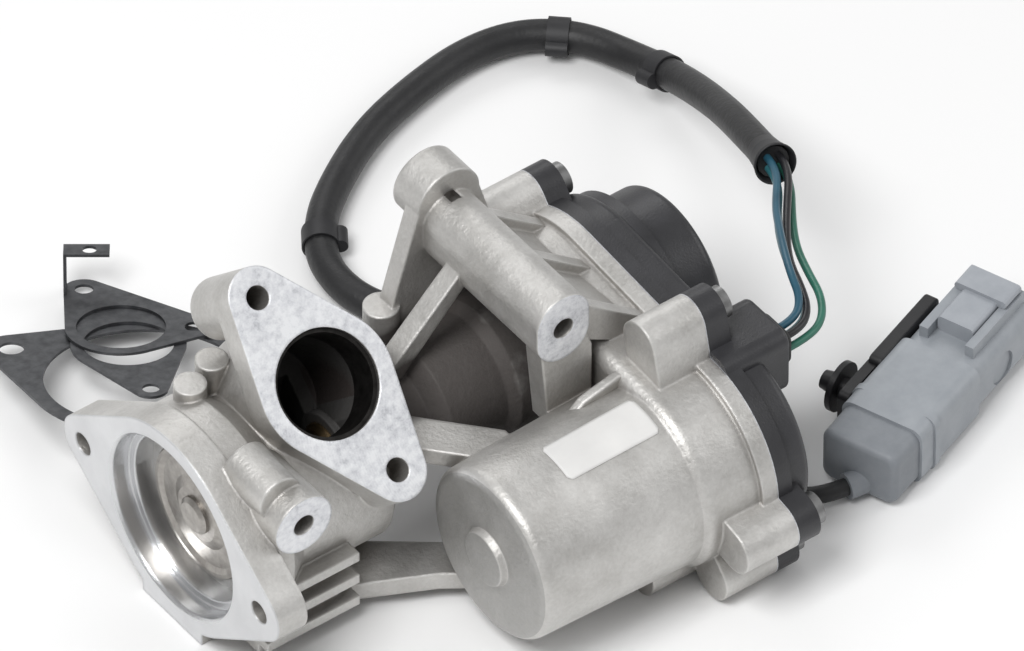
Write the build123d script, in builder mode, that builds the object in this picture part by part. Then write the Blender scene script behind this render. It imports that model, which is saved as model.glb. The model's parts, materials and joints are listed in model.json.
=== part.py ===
from build123d import *
import math
import os

os.makedirs("parts", exist_ok=True)

# Exhaust gas recirculation valve with its electric drive, its lead and its loose gaskets.
# Millimetres. X runs along the valve stem from the outlet flange to the gear cover,
# -Y is the front, +Z is up, and the origin is the centre of the outlet bore at its face.

# Surface that the valve stands on
floor_z = -33.0

# Fits
press_gap = 0.02
running_gap = 0.06
seat_gap = 0.05

# Outlet flange and its bore
outlet_ring_radius = 32.0
outlet_ear_radius = 8.5
outlet_bolt_reach = 39.0
outlet_bolt_hole_radius = 3.4
outlet_flange_thickness = 9.5
outlet_bore_radius = 26.7
outlet_bore_depth = 6.0
seat_bore_radius = 24.2

# Inlet flange, tilted up and to the front
inlet_x = 43.0
inlet_y = -11.5
inlet_z = 36.5
inlet_tilt = 45.0
inlet_ring_radius = 19.8
inlet_ear_radius = 8.5
inlet_bolt_reach = 29.5
inlet_bolt_lean = 15.0
inlet_bolt_hole_radius = 3.3
inlet_flange_thickness = 9.0
inlet_upper_boss_length = 24.0
inlet_lower_boss_length = 15.0
inlet_bore_radius = 15.0
inlet_bore_depth = 40.0
inlet_branch_wall = 4.6
inlet_sleeve_recess = 1.6
inlet_sleeve_wall = 1.2
inlet_sleeve_length = 12.0

# Gas chamber behind the seat
chamber_radius = 22.0
chamber_wall = 5.0
chamber_end_x = 52.0
chamber_back_wall = 6.0

# Valve seat, disc and stem
seat_x = 12.0
seat_thickness = 4.0
seat_inner_radius = 17.5
disc_radius = 19.4
disc_thickness = 3.6
disc_dish = 1.4
stem_radius = 4.0
stem_end_x = 100.0
stem_head_radius = 5.5
guide_start_x = 50.0
guide_length = 27.0
guide_wall = 3.2
seal_length = 3.0
seal_radius = 8.5

# Barrel cam that turns rotation into lift
valve_lift = 6.0
output_swing = 90.0
pin_x = 94.0
pin_radius = 1.5
roller_radius = 2.5
barrel_start_x = 83.0
barrel_inner_radius = 7.0
barrel_outer_radius = 10.0
slot_side_gap = 0.12
cam_end_gap = 0.9
track_sleeve_start_x = 81.5
track_sleeve_inner_radius = 10.4
track_sleeve_outer_radius = 13.4

# Bearings of the barrel
bearing_width = 7.0
bearing_outer_radius = 16.0
bearing_gap = 3.5

# Neck of the casting round the stem
neck_radius = 13.0
track_wall = 4.0
bearing_wall = 3.6

# Electric motor, parallel to the stem
motor_y = -56.0
motor_z = -3.0
motor_radius = 20.5
motor_length = 44.0
motor_shaft_radius = 2.0
motor_pocket_gap = 0.4
motor_shell_wall = 4.2
motor_shell_end_wall = 3.5
motor_shell_start_x = 62.0
motor_draft = 1.6
motor_bearing_boss_radius = 8.6
motor_bearing_boss_height = 2.0
armature_radius = 13.6
magnet_thickness = 3.6
magnet_angle = 130.0
case_thickness = 1.2
end_plate_thickness = 3.0
motor_flange_thickness = 2.0
motor_screw_reach = 25.2
motor_screw_angles = (52.0, -50.0)
motor_screw_radius = 1.5
motor_screw_length = 9.0

# Gear tray of the casting
tray_floor_x = 112.0
tray_floor_thickness = 4.0
rim_x = 135.0
tray_wall = 3.0
rim_thickness = 5.0
gear_room_radius = 27.0
motor_room_radius = 25.0
ear_radius = 6.8
ear_depth = 17.0
ear_hole_radius = 2.6
ear_reach = 7.5
top_ear_reach = 13.6
gear_ear_angles = (49.4, -46.2)
motor_ear_angles = (190.6, 225.0)
top_ear_angle = 76.5

# Gear train
pressure_angle = math.radians(24)
backlash_share = 0.07
first_module = 0.8
pinion_teeth = 12
large_teeth = 52
second_module = 1.0
small_teeth = 14
output_teeth = 48
output_sector = 132.0
output_gear_x = 119.5
output_gear_width = 6.0
small_gear_overlap = 0.8
large_gear_width = 6.0
gear_side_gap = 1.0
pinion_width = 8.0
intermediate_pin_radius = 3.0
spindle_radius = 7.8
spindle_end_x = 151.0
magnet_radius = 5.0
magnet_height = 3.0

# Return spring
spring_radius = 12.0
spring_wire_radius = 0.9
spring_turns = 4.0
spring_pitch = 2.4
spring_start_x = 138.0

# Plastic cover
cover_wall = 2.6
cover_flange_thickness = 4.5
cover_top_x = 147.5
drum_radius = 28.0
drum_top_x = 151.0
dome_radius = 24.0
dome_top_x = 165.0
cover_corner = 2.5
seal_section = 1.6
seal_depth = 1.2
tower_y = -53.0
tower_z = 18.0
tower_width = 20.0
tower_height = 21.0
tower_top_x = 156.0
ear_sleeve_radius = 3.9
board_radius = 17.0
board_thickness = 1.6
board_gap = 2.4
grommet_width = 13.0
grommet_height = 11.0
grommet_reach = 3.5

# Cover screws
screw_shank_radius = 2.4
screw_head_radius = 4.6
screw_head_height = 3.4
screw_length = 17.0
screw_socket_radius = 2.2
screw_socket_depth = 1.8

# Bolt bosses on the front of the casting
front_face_y = -38.0
front_boss_radius = 9.0
front_hole_radius = 3.2
front_hole_depth = 18.0
bar_x = 100.0
bar_z = 44.0
bar_radius = 8.4
bar_rear_y = 12.0
lug_radius = 10.0
lug_thickness = 11.0
lug_z = 52.0
lower_boss_x = 17.0
lower_boss_z = 19.5
lower_boss_front_y = -36.0

# Lead: four wires, the sleeve round them and the thinner tail at the connector
wire_diameter = 2.2
sleeve_diameter = 9.0
tail_diameter = 5.0
wire_spread = 1.6
mouth = (204.0, 7.0, 10.0)
sleeve_points = [
    mouth,
    (211.0, 30.0, 1.5),
    (218.0, 52.0, -9.5),
    (222.5, 73.5, -20.0),
    (222.5, 91.5, -27.0),
    (216.5, 108.0, -27.8),
    (204.0, 118.8, -27.8),
    (187.0, 121.8, -27.8),
    (167.0, 118.5, -27.8),
    (148.0, 113.0, -27.8),
    (131.0, 103.5, -27.8),
    (117.0, 93.0, -27.8),
    (107.5, 79.0, -27.8),
    (106.8, 62.0, -27.8),
    (115.0, 47.5, -27.8),
    (129.6, 39.4, -27.8),
    (147.0, 39.8, -27.8),
    (163.4, 31.6, -27.8),
    (172.6, 17.0, -27.8),
    (173.0, 0.0, -27.8),
    (169.0, -17.0, -27.8),
    (163.5, -30.0, -27.8),
]
tail_middle = [
    (159.6, -39.2, -27.8),
    (155.6, -51.0, -29.0),
    (154.6, -60.5, -30.0),
    (158.0, -67.2, -29.6),
]
wire_middles = {
    "lead_wire_black": [
        (165.5, -55.6, 19.7),
        (171.2, -50.6, 19.7),
        (175.0, -42.6, 19.2),
        (178.4, -33.6, 18.2),
        (184.0, -24.6, 16.8),
        (191.8, -14.6, 15.9),
    ],
    "lead_wire_blue": [
        (165.4, -52.4, 20.2),
        (170.6, -48.2, 21.6),
        (173.4, -40.3, 22.9),
        (177.8, -31.6, 22.2),
        (183.2, -22.4, 20.4),
        (189.3, -12.9, 17.4),
    ],
    "lead_wire_green": [
        (166.5, -56.4, 15.9),
        (173.8, -53.4, 15.4),
        (179.6, -45.8, 15.0),
        (182.6, -36.0, 14.6),
        (186.4, -26.0, 13.6),
        (192.6, -16.0, 12.4),
    ],
    "lead_wire_teal": [
        (164.8, -52.4, 15.8),
        (171.6, -49.4, 15.3),
        (176.4, -42.2, 14.9),
        (179.4, -33.0, 14.4),
        (183.6, -23.4, 13.2),
        (189.6, -13.4, 12.0),
    ],
}
wire_corners = {
    "lead_wire_black": (-1, 1),
    "lead_wire_blue": (1, 1),
    "lead_wire_green": (-1, -1),
    "lead_wire_teal": (1, -1),
}
wrap_shares = (0.21, 0.304, 0.59)
wrap_length = 6.0
wrap_thickness = 0.7
wrap_bend_gap = 0.2
wrap_knot_radius = 2.2

# Connector, turned in plan from the X axis
connector_x = 172.0
connector_y = -72.0
connector_turn = 20.4
connector_length = 70.0
connector_width = 25.0
connector_height = 19.0
connector_wall = 2.2
connector_socket_depth = 22.0
cap_length = 12.0
cap_step = 0.8
gland_length = 3.5
gland_drop = -5.0
gland_turn = -8.0
gland_wall = 1.2
clip_distance = 24.0
lock_length = 20.0
lock_width = 11.0
lock_height = 5.0

# Loose gaskets, propped on the back of the casting
gasket_corner = (46.4, 82.2, -24.2)
gasket_thickness = 0.8
gasket_lean = 16.0
gasket_view_turn = 36.9
outlet_gasket_turn = 155.5
tab_height = 13.0


def across(x, y=0.0, z=0.0):
    """Plane square to the stem, with local axes along Y and Z."""
    return Plane(origin=(x, y, z), x_dir=(0, 1, 0), z_dir=(1, 0, 0))


def from_front(x, y, z):
    """Plane facing the front, with local axes along X and Z."""
    return Plane(origin=(x, y, z), x_dir=(1, 0, 0), z_dir=(0, -1, 0))


def involute(angle):
    return math.tan(angle) - angle


def half_tooth(radius, module, teeth):
    """Half of the angle that a tooth covers at a radius."""
    pitch_radius = module * teeth / 2
    base_radius = pitch_radius * math.cos(pressure_angle)
    swing = math.acos(min(1.0, base_radius / radius))
    half_at_pitch = math.pi / (2 * teeth) * (1 - backlash_share)
    return half_at_pitch + involute(pressure_angle) - involute(swing)


def gear_points(module, teeth, phase):
    """Closed outline of a spur gear with one tooth centred on the phase angle."""
    pitch_radius = module * teeth / 2
    base_radius = pitch_radius * math.cos(pressure_angle)
    root_radius = pitch_radius - 1.15 * module
    flank_start = max(root_radius, base_radius)
    steps = [root_radius, flank_start, pitch_radius, pitch_radius + 0.85 * module]
    radii = [r for i, r in enumerate(steps) if i == 0 or r > steps[i - 1] + 0.01]
    points = []
    for tooth in range(teeth):
        centre = phase + 2 * math.pi * tooth / teeth
        rising = [(r, centre - half_tooth(r, module, teeth)) for r in radii]
        falling = [(r, centre + half_tooth(r, module, teeth)) for r in reversed(radii)]
        points += [(r * math.cos(a), r * math.sin(a)) for r, a in rising + falling]
    return points


def ear_root(ear_y, ear_z):
    """Place on the tray's wall that an ear's web runs back to."""
    centre_y, centre_z = (motor_y, motor_z) if ear_y < motor_y / 2 else (0.0, 0.0)
    reach = math.hypot(ear_y - centre_y, ear_z - centre_z)
    share = (gear_room_radius - 4) / reach
    return (centre_y + (ear_y - centre_y) * share, centre_z + (ear_z - centre_z) * share)


def route(points, diameter, label):
    """Radii for a path of straight runs and arcs, printed with the length of the path."""
    radii = []
    for before, here, after in zip(points, points[1:], points[2:]):
        run_in = Vector(*here) - Vector(*before)
        run_out = Vector(*after) - Vector(*here)
        half_turn = math.radians(run_in.get_angle(run_out)) / 2
        radii.append(0.45 * min(run_in.length, run_out.length) / math.tan(half_turn))
    print(label, "radii", [round(r, 1) for r in radii], "least is", round(min(radii) / diameter, 1), "diameters")
    return radii


# Derived places
def off_axis(centre_y, centre_z, reach, angle):
    turn = math.radians(angle)
    return (centre_y + reach * math.cos(turn), centre_z + reach * math.sin(turn))


ear_spots = [off_axis(0, 0, gear_room_radius + ear_reach, angle) for angle in gear_ear_angles]
ear_spots += [off_axis(motor_y, motor_z, motor_room_radius + ear_reach, angle) for angle in motor_ear_angles]
ear_spots.append(off_axis(motor_y, motor_z, motor_room_radius + top_ear_reach, top_ear_angle))
tray_inside_x = tray_floor_x + tray_floor_thickness
seat_bore_end_x = seat_x + seat_thickness
bearing_two_x = tray_inside_x + 2.0 - bearing_width
bearing_one_x = bearing_two_x - bearing_gap - bearing_width
bearing_end_x = bearing_two_x + bearing_width
guide_outer_radius = stem_radius + guide_wall
guide_end_x = guide_start_x + guide_length
guide_boss_radius = guide_outer_radius + 3.0
disc_x = seat_x - seat_gap - disc_thickness
lead_per_turn = valve_lift * 360 / output_swing
first_distance = first_module * (pinion_teeth + large_teeth) / 2
second_distance = second_module * (small_teeth + output_teeth) / 2
motor_distance = math.hypot(motor_y, motor_z)
motor_direction = math.atan2(motor_z, motor_y)
second_swing = math.acos(
    (second_distance**2 + motor_distance**2 - first_distance**2) / (2 * second_distance * motor_distance)
)
intermediate_direction = motor_direction + second_swing
intermediate_y = second_distance * math.cos(intermediate_direction)
intermediate_z = second_distance * math.sin(intermediate_direction)
first_direction = math.atan2(intermediate_z - motor_z, intermediate_y - motor_y)
output_gear_end_x = output_gear_x + output_gear_width
small_gear_x = output_gear_x - small_gear_overlap
large_gear_x = output_gear_end_x + gear_side_gap
large_gear_end_x = large_gear_x + large_gear_width
pinion_x = large_gear_x - gear_side_gap
motor_pocket_radius = motor_radius + motor_pocket_gap
motor_case_x = tray_inside_x - end_plate_thickness - motor_length
motor_shell_radius = motor_pocket_radius + motor_shell_wall
motor_screw_spots = [
    (motor_screw_reach * math.cos(math.radians(angle)), motor_screw_reach * math.sin(math.radians(angle)))
    for angle in motor_screw_angles
]
inlet_plane = Plane(
    origin=(inlet_x, inlet_y, inlet_z),
    x_dir=(1, 0, 0),
    z_dir=(0, -math.cos(math.radians(inlet_tilt)), math.sin(math.radians(inlet_tilt))),
)
inlet_bolt_angle = math.radians(90 + inlet_bolt_lean)
inlet_bolts = [
    (inlet_bolt_reach * math.cos(inlet_bolt_angle), inlet_bolt_reach * math.sin(inlet_bolt_angle)),
    (-inlet_bolt_reach * math.cos(inlet_bolt_angle), -inlet_bolt_reach * math.sin(inlet_bolt_angle)),
]
inlet_branch_radius = inlet_bore_radius + inlet_branch_wall
outlet_bolts = [(outlet_bolt_reach, 0), (-outlet_bolt_reach, 0)]


# Casting: one piece with both flanges, the gas chamber, the neck, the motor shell and the gear tray
with BuildPart() as inlet_branch:
    with BuildSketch(inlet_plane):
        Circle(inlet_branch_radius)
    extrude(amount=-(inlet_bore_depth + inlet_branch_wall))
    fillet(inlet_branch.edges().filter_by(GeomType.CIRCLE).sort_by(Axis.Z)[0], radius=9)
    with BuildSketch(inlet_plane):
        Circle(inlet_ring_radius)
        with Locations(*inlet_bolts):
            Circle(inlet_ear_radius)
        make_hull()
    extrude(amount=-inlet_flange_thickness)
    with BuildSketch(inlet_plane):
        with Locations(inlet_bolts[0]):
            Circle(inlet_ear_radius)
    extrude(amount=-inlet_upper_boss_length)
    with BuildSketch(inlet_plane):
        with Locations(inlet_bolts[1]):
            Circle(inlet_ear_radius)
    extrude(amount=-inlet_lower_boss_length)

with BuildPart() as motor_shell:
    with BuildSketch(across(motor_shell_start_x, motor_y, motor_z)):
        Circle(motor_shell_radius)
    extrude(amount=tray_inside_x - motor_shell_start_x, taper=-motor_draft)
    shell_end = motor_shell.faces().sort_by(Axis.X)[0]
    fillet(shell_end.edges(), radius=3.2)
    with BuildSketch(across(motor_shell_start_x, motor_y, motor_z)):
        Circle(motor_bearing_boss_radius)
    extrude(amount=-motor_bearing_boss_height, taper=20)

with BuildPart() as gear_tray:
    with BuildSketch(across(tray_floor_x)):
        Circle(gear_room_radius + tray_wall)
        with Locations((motor_y, motor_z)):
            Circle(motor_room_radius + tray_wall)
        make_hull()
    extrude(amount=rim_x - tray_floor_x)
    fillet(gear_tray.faces().sort_by(Axis.X)[0].edges(), radius=4)
    for ear_y, ear_z in ear_spots:
        with BuildSketch(across(rim_x)):
            with Locations((ear_y, ear_z), ear_root(ear_y, ear_z)):
                Circle(ear_radius)
            make_hull()
        extrude(amount=-ear_depth)
    with BuildSketch(across(rim_x)):
        Circle(gear_room_radius + tray_wall + 1.6)
        with Locations((motor_y, motor_z)):
            Circle(motor_room_radius + tray_wall + 1.6)
        make_hull()
    extrude(amount=-rim_thickness)

body_outer_radius = chamber_radius + chamber_wall
track_neck_radius = track_sleeve_outer_radius + track_wall
bearing_neck_radius = bearing_outer_radius + bearing_wall
chamber_back_x = chamber_end_x + chamber_back_wall

with BuildPart() as valve_housing:
    with BuildSketch(across(0)):
        Circle(outlet_ring_radius)
        with Locations(*outlet_bolts):
            Circle(outlet_ear_radius)
        make_hull()
    extrude(amount=outlet_flange_thickness)
    with BuildSketch(Plane.XZ):
        with BuildLine():
            Polyline(
                (outlet_flange_thickness - 1, 0),
                (outlet_flange_thickness - 1, outlet_ring_radius - 1),
                (outlet_flange_thickness + 8, outlet_ring_radius - 1),
                (outlet_flange_thickness + 14, body_outer_radius),
                (chamber_back_x - 5, body_outer_radius),
                (chamber_back_x, body_outer_radius - 5),
                (chamber_back_x + 2, neck_radius + 3),
                (chamber_back_x + 5, neck_radius),
                (track_sleeve_start_x - 6, neck_radius),
                (track_sleeve_start_x - 2, track_neck_radius),
                (bearing_one_x - 3, track_neck_radius),
                (bearing_one_x, bearing_neck_radius),
                (bearing_end_x, bearing_neck_radius),
                (bearing_end_x, 0),
                close=True,
            )
        make_face()
    revolve(axis=Axis.X)
    add(inlet_branch.part)
    add(motor_shell.part)
    add(gear_tray.part)

    # Bar across the top with its rear lug, its skin and its ribs
    with BuildSketch(from_front(bar_x, bar_rear_y, bar_z)):
        SlotCenterToCenter(center_separation=5, height=2 * bar_radius, rotation=90)
    extrude(amount=bar_rear_y - front_face_y)
    with BuildSketch(from_front(bar_x, bar_rear_y, bar_z)):
        with BuildLine():
            Polyline(
                (-22, -34),
                (-lug_radius - 9, -22),
                (-lug_radius, lug_z - bar_z),
                (lug_radius, lug_z - bar_z),
                (lug_radius + 4, -6),
                (tray_inside_x - bar_x, -20),
                (tray_inside_x - bar_x, -34),
                close=True,
            )
        make_face()
        with Locations((0, lug_z - bar_z)):
            Circle(lug_radius)
    extrude(amount=-lug_thickness / 2)
    with BuildSketch(from_front(bar_x, bar_rear_y, lug_z)):
        Circle(lug_radius)
    extrude(amount=-lug_thickness)
    for rib_y in (front_face_y + 7, -8, bar_rear_y):
        with BuildSketch(from_front(bar_x, rib_y, bar_z)):
            with BuildLine():
                Polyline(
                    (0, bar_radius),
                    (rim_x - rim_thickness - bar_x, -16),
                    (rim_x - rim_thickness - bar_x, -24),
                    (0, -bar_radius + 2),
                    close=True,
                )
            make_face()
        extrude(amount=4)
    with BuildSketch(from_front(bar_x, bar_rear_y, bar_z)):
        with BuildLine():
            Polyline(
                (0, 4),
                (rim_x - rim_thickness - bar_x, -19),
                (rim_x - rim_thickness - bar_x, -24),
                (0, -1),
                close=True,
            )
        make_face()
    extrude(amount=bar_rear_y - front_face_y - 7)
    with BuildSketch(from_front(bar_x, bar_rear_y - 10, bar_z)):
        with BuildLine():
            Polyline((-4, 2), (-4, -4), (-25, -26), (-31, -33), (-31, -24), close=True)
        make_face()
    extrude(amount=6)
    with BuildSketch(from_front(bar_x - 2, front_face_y + 1, bar_z)):
        with BuildLine():
            Polyline((-5, 0), (8, 0), (12, -12), (12, -34), (-2, -34), close=True)
        make_face()
    extrude(amount=-7)

    # Mounting boss beside the outlet flange
    with BuildSketch(from_front(lower_boss_x, lower_boss_front_y, lower_boss_z)):
        Circle(front_boss_radius)
    extrude(amount=-22)

    # Arms from the gas chamber to the motor shell
    with BuildSketch(Plane.XY.offset(floor_z + 4)):
        with BuildLine():
            Polyline((22, -6), (22, -22), (40, -27), (60, -37), (78, -50), (78, -36), (50, -14), (50, -4), close=True)
        make_face()
    extrude(amount=5.5)
    with BuildSketch(Plane.XY.offset(8)):
        with BuildLine():
            Polyline((50, -18), (60, -24), (76, -42), (84, -42), (84, -34), (70, -18), (62, -8), close=True)
        make_face()
    extrude(amount=5)

    # Ribs and foot under the front of the chamber
    for rib_z in (-9.0, -17.0, -25.0):
        with BuildSketch(across(outlet_flange_thickness - 1)):
            with Locations((-body_outer_radius + 5, rib_z)):
                Rectangle(18, 3)
        extrude(amount=30)
    with BuildSketch(across(outlet_flange_thickness - 1)):
        with Locations((-12, floor_z + 7)):
            Rectangle(30, 8)
    extrude(amount=26)

    # Cast pads and small bosses on the chamber
    with BuildSketch(from_front(14, -30, 26)):
        Circle(6.5)
    extrude(amount=-16, taper=-3)
    for pad_x, pad_y in ((17, 14), (27, 18)):
        with BuildSketch(Plane.XY.offset(12)):
            with Locations((pad_x, pad_y)):
                Circle(4.5)
        extrude(amount=20)
    with BuildSketch(Plane.XY.offset(2)):
        with Locations((80, 15)):
            Circle(5)
    extrude(amount=21)

    # Lower bosses of the tray
    for boss_y, boss_x in ((-66.0, 104.0), (-24.0, 110.0), (24.0, 112.0)):
        with BuildSketch(across(boss_x)):
            with Locations((boss_y, floor_z + ear_radius - 0.5)):
                Circle(ear_radius - 0.5)
        extrude(amount=rim_x - boss_x)

    # Foot under the outlet flange that stands on the surface
    with BuildSketch(across(0)):
        with Locations((0, floor_z + 3)):
            Rectangle(26, 6)
    extrude(amount=outlet_flange_thickness + 6)

    # Gas passages
    with BuildSketch(across(0)):
        Circle(outlet_bore_radius)
    extrude(amount=outlet_bore_depth, mode=Mode.SUBTRACT)
    with BuildSketch(across(0)):
        Circle(seat_bore_radius)
    extrude(amount=seat_bore_end_x, mode=Mode.SUBTRACT)
    with BuildSketch(across(0)):
        Circle(chamber_radius)
    extrude(amount=chamber_end_x, mode=Mode.SUBTRACT)
    with BuildSketch(inlet_plane):
        Circle(inlet_bore_radius)
    extrude(amount=-inlet_bore_depth, mode=Mode.SUBTRACT)
    with BuildSketch(across(guide_start_x)):
        Circle(guide_boss_radius)
    extrude(amount=chamber_end_x - guide_start_x)

    # Stepped bore for the guide, the seal, the track sleeve and the bearings
    with BuildSketch(across(guide_start_x)):
        Circle(guide_outer_radius + press_gap)
    extrude(amount=guide_length, mode=Mode.SUBTRACT)
    with BuildSketch(across(guide_end_x)):
        Circle(seal_radius + press_gap)
    extrude(amount=track_sleeve_start_x - guide_end_x, mode=Mode.SUBTRACT)
    with BuildSketch(across(track_sleeve_start_x)):
        Circle(track_sleeve_outer_radius + press_gap)
    extrude(amount=bearing_one_x - track_sleeve_start_x, mode=Mode.SUBTRACT)
    with BuildSketch(across(bearing_one_x)):
        Circle(bearing_outer_radius + press_gap)
    extrude(amount=bearing_end_x - bearing_one_x, mode=Mode.SUBTRACT)

    # Room for the gears, with the bearing boss left standing
    with BuildSketch(across(tray_inside_x)):
        Circle(gear_room_radius)
        with Locations((motor_y, motor_z)):
            Circle(motor_room_radius)
        make_hull()
        Circle(bearing_neck_radius, mode=Mode.SUBTRACT)
    extrude(amount=bearing_end_x - tray_inside_x, mode=Mode.SUBTRACT)
    with BuildSketch(across(bearing_end_x)):
        Circle(gear_room_radius)
        with Locations((motor_y, motor_z)):
            Circle(motor_room_radius)
        make_hull()
    extrude(amount=rim_x - bearing_end_x, mode=Mode.SUBTRACT)

    # Motor pocket and the bore of the intermediate pin
    with BuildSketch(across(tray_floor_x - 8, intermediate_y, intermediate_z)):
        Circle(intermediate_pin_radius + 3.5)
    extrude(amount=tray_inside_x - tray_floor_x + 8.5)
    with BuildSketch(across(tray_inside_x + 1, motor_y, motor_z)):
        Circle(motor_pocket_radius)
    extrude(amount=-(tray_inside_x + 1 - motor_shell_start_x - motor_shell_end_wall), mode=Mode.SUBTRACT)
    with BuildSketch(across(tray_floor_x - 5, intermediate_y, intermediate_z)):
        Circle(intermediate_pin_radius + press_gap)
    extrude(amount=14, mode=Mode.SUBTRACT)

    with BuildSketch(across(tray_inside_x, motor_y, motor_z)):
        with Locations(*motor_screw_spots):
            Circle(motor_screw_radius + press_gap)
    extrude(amount=-motor_screw_length, mode=Mode.SUBTRACT)

    # Bolt holes
    with BuildSketch(across(0)):
        with Locations(*outlet_bolts):
            Circle(outlet_bolt_hole_radius)
    extrude(amount=outlet_flange_thickness + 1, mode=Mode.SUBTRACT)
    with BuildSketch(inlet_plane):
        with Locations(inlet_bolts[0]):
            Circle(inlet_bolt_hole_radius)
    extrude(amount=-(inlet_upper_boss_length - 5), mode=Mode.SUBTRACT)
    with BuildSketch(inlet_plane):
        with Locations(inlet_bolts[1]):
            Circle(inlet_bolt_hole_radius)
    extrude(amount=-(inlet_lower_boss_length - 3), mode=Mode.SUBTRACT)
    with BuildSketch(from_front(bar_x, front_face_y, bar_z)):
        Circle(front_hole_radius)
    extrude(amount=-front_hole_depth, mode=Mode.SUBTRACT)
    with BuildSketch(from_front(lower_boss_x, lower_boss_front_y, lower_boss_z)):
        Circle(front_hole_radius)
    extrude(amount=-front_hole_depth * 0.6, mode=Mode.SUBTRACT)
    with BuildSketch(from_front(bar_x, bar_rear_y + lug_thickness, lug_z)):
        Circle(front_hole_radius)
    extrude(amount=front_hole_depth * 0.8, mode=Mode.SUBTRACT)
    with BuildSketch(across(rim_x)):
        with Locations(*ear_spots):
            Circle(ear_hole_radius)
    extrude(amount=-(rim_x - tray_floor_x) * 0.7, mode=Mode.SUBTRACT)
    chamfer(
        valve_housing.edges()
        .filter_by(GeomType.CIRCLE)
        .filter_by(lambda e: abs(e.radius - outlet_bore_radius) < 0.01 and abs(e.center().X) < 0.01),
        length=0.8,
    )
valve_housing.part.label = "valve_housing"
export_step(valve_housing.part, "parts/valve_housing.step")


# Gas side: seat, disc, stem, guide, seal and inlet sleeve
with BuildPart() as valve_seat:
    with BuildSketch(across(seat_x)):
        Circle(seat_bore_radius - press_gap)
        Circle(seat_inner_radius, mode=Mode.SUBTRACT)
    extrude(amount=seat_thickness)
    chamfer(
        valve_seat.edges().filter_by(GeomType.CIRCLE).sort_by(SortBy.RADIUS)[:2].sort_by(Axis.X)[0],
        length=0.8,
    )
valve_seat.part.label = "valve_seat"
export_step(valve_seat.part, "parts/valve_seat.step")

with BuildPart() as valve_disc:
    with BuildSketch(Plane.XZ):
        with BuildLine():
            Polyline(
                (disc_x, stem_radius + press_gap),
                (disc_x, 8),
                (disc_x + disc_dish, 11),
                (disc_x + disc_dish, disc_radius - 3),
                (disc_x + 0.6, disc_radius - 1.5),
                (disc_x + 0.6, disc_radius - 0.4),
                (disc_x + 1.2, disc_radius),
                (disc_x + disc_thickness, disc_radius),
                (disc_x + disc_thickness, stem_radius + press_gap),
                close=True,
            )
        make_face()
    revolve(axis=Axis.X)
valve_disc.part.label = "valve_disc"
export_step(valve_disc.part, "parts/valve_disc.step")

with BuildPart() as valve_stem:
    with BuildSketch(Plane.XZ):
        with BuildLine():
            Polyline(
                (disc_x - 1.8, 0),
                (disc_x - 1.8, stem_head_radius - 1.2),
                (disc_x - 0.8, stem_head_radius),
                (disc_x, stem_head_radius),
                (disc_x, stem_radius),
                (stem_end_x - 1, stem_radius),
                (stem_end_x, stem_radius - 1),
                (stem_end_x, 0),
                close=True,
            )
        make_face()
    revolve(axis=Axis.X)
    with BuildSketch(from_front(pin_x, -stem_radius - 1, 0)):
        Circle(pin_radius + press_gap)
    extrude(amount=-2 * (stem_radius + 1), mode=Mode.SUBTRACT)
valve_stem.part.label = "valve_stem"
export_step(valve_stem.part, "parts/valve_stem.step")

with BuildPart() as stem_guide:
    with BuildSketch(across(guide_start_x - 2)):
        Circle(guide_outer_radius)
        Circle(stem_radius + running_gap, mode=Mode.SUBTRACT)
    extrude(amount=guide_length + 2 - seat_gap)
    chamfer(stem_guide.faces().sort_by(Axis.X)[0].edges().sort_by(SortBy.RADIUS)[-1], length=1.2)
stem_guide.part.label = "stem_guide"
export_step(stem_guide.part, "parts/stem_guide.step")

with BuildPart() as stem_seal:
    with BuildSketch(across(guide_end_x + seat_gap)):
        Circle(seal_radius)
        Circle(stem_radius + running_gap, mode=Mode.SUBTRACT)
    extrude(amount=seal_length)
    with BuildSketch(across(guide_end_x + seat_gap + seal_length)):
        Circle(seal_radius - 1)
        Circle(stem_radius + 1, mode=Mode.SUBTRACT)
    extrude(amount=-seal_length / 2, mode=Mode.SUBTRACT)
stem_seal.part.label = "stem_seal"
export_step(stem_seal.part, "parts/stem_seal.step")

with BuildPart() as inlet_sleeve:
    with BuildSketch(inlet_plane.offset(-inlet_sleeve_recess)):
        Circle(inlet_bore_radius - press_gap)
        Circle(inlet_bore_radius - inlet_sleeve_wall, mode=Mode.SUBTRACT)
    extrude(amount=-inlet_sleeve_length)
inlet_sleeve.part.label = "inlet_sleeve"
export_step(inlet_sleeve.part, "parts/inlet_sleeve.step")


# Cam drive: track sleeve, cross pin and rollers
with BuildPart() as track_sleeve:
    with BuildSketch(across(track_sleeve_start_x)):
        Circle(track_sleeve_outer_radius)
        Circle(track_sleeve_inner_radius, mode=Mode.SUBTRACT)
    extrude(amount=bearing_one_x - track_sleeve_start_x - seat_gap)
    with BuildSketch(from_front(pin_x - valve_lift / 2, -track_sleeve_outer_radius - 1, 0)):
        SlotCenterToCenter(center_separation=valve_lift, height=2 * (roller_radius + slot_side_gap))
    extrude(amount=-2 * (track_sleeve_outer_radius + 1), mode=Mode.SUBTRACT)
track_sleeve.part.label = "track_sleeve"
export_step(track_sleeve.part, "parts/track_sleeve.step")

with BuildPart() as cam_pin:
    with BuildSketch(from_front(pin_x, -track_sleeve_outer_radius + 0.3, 0)):
        Circle(pin_radius)
    extrude(amount=-2 * (track_sleeve_outer_radius - 0.3))
cam_pin.part.label = "cam_pin"
export_step(cam_pin.part, "parts/cam_pin.step")

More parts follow.
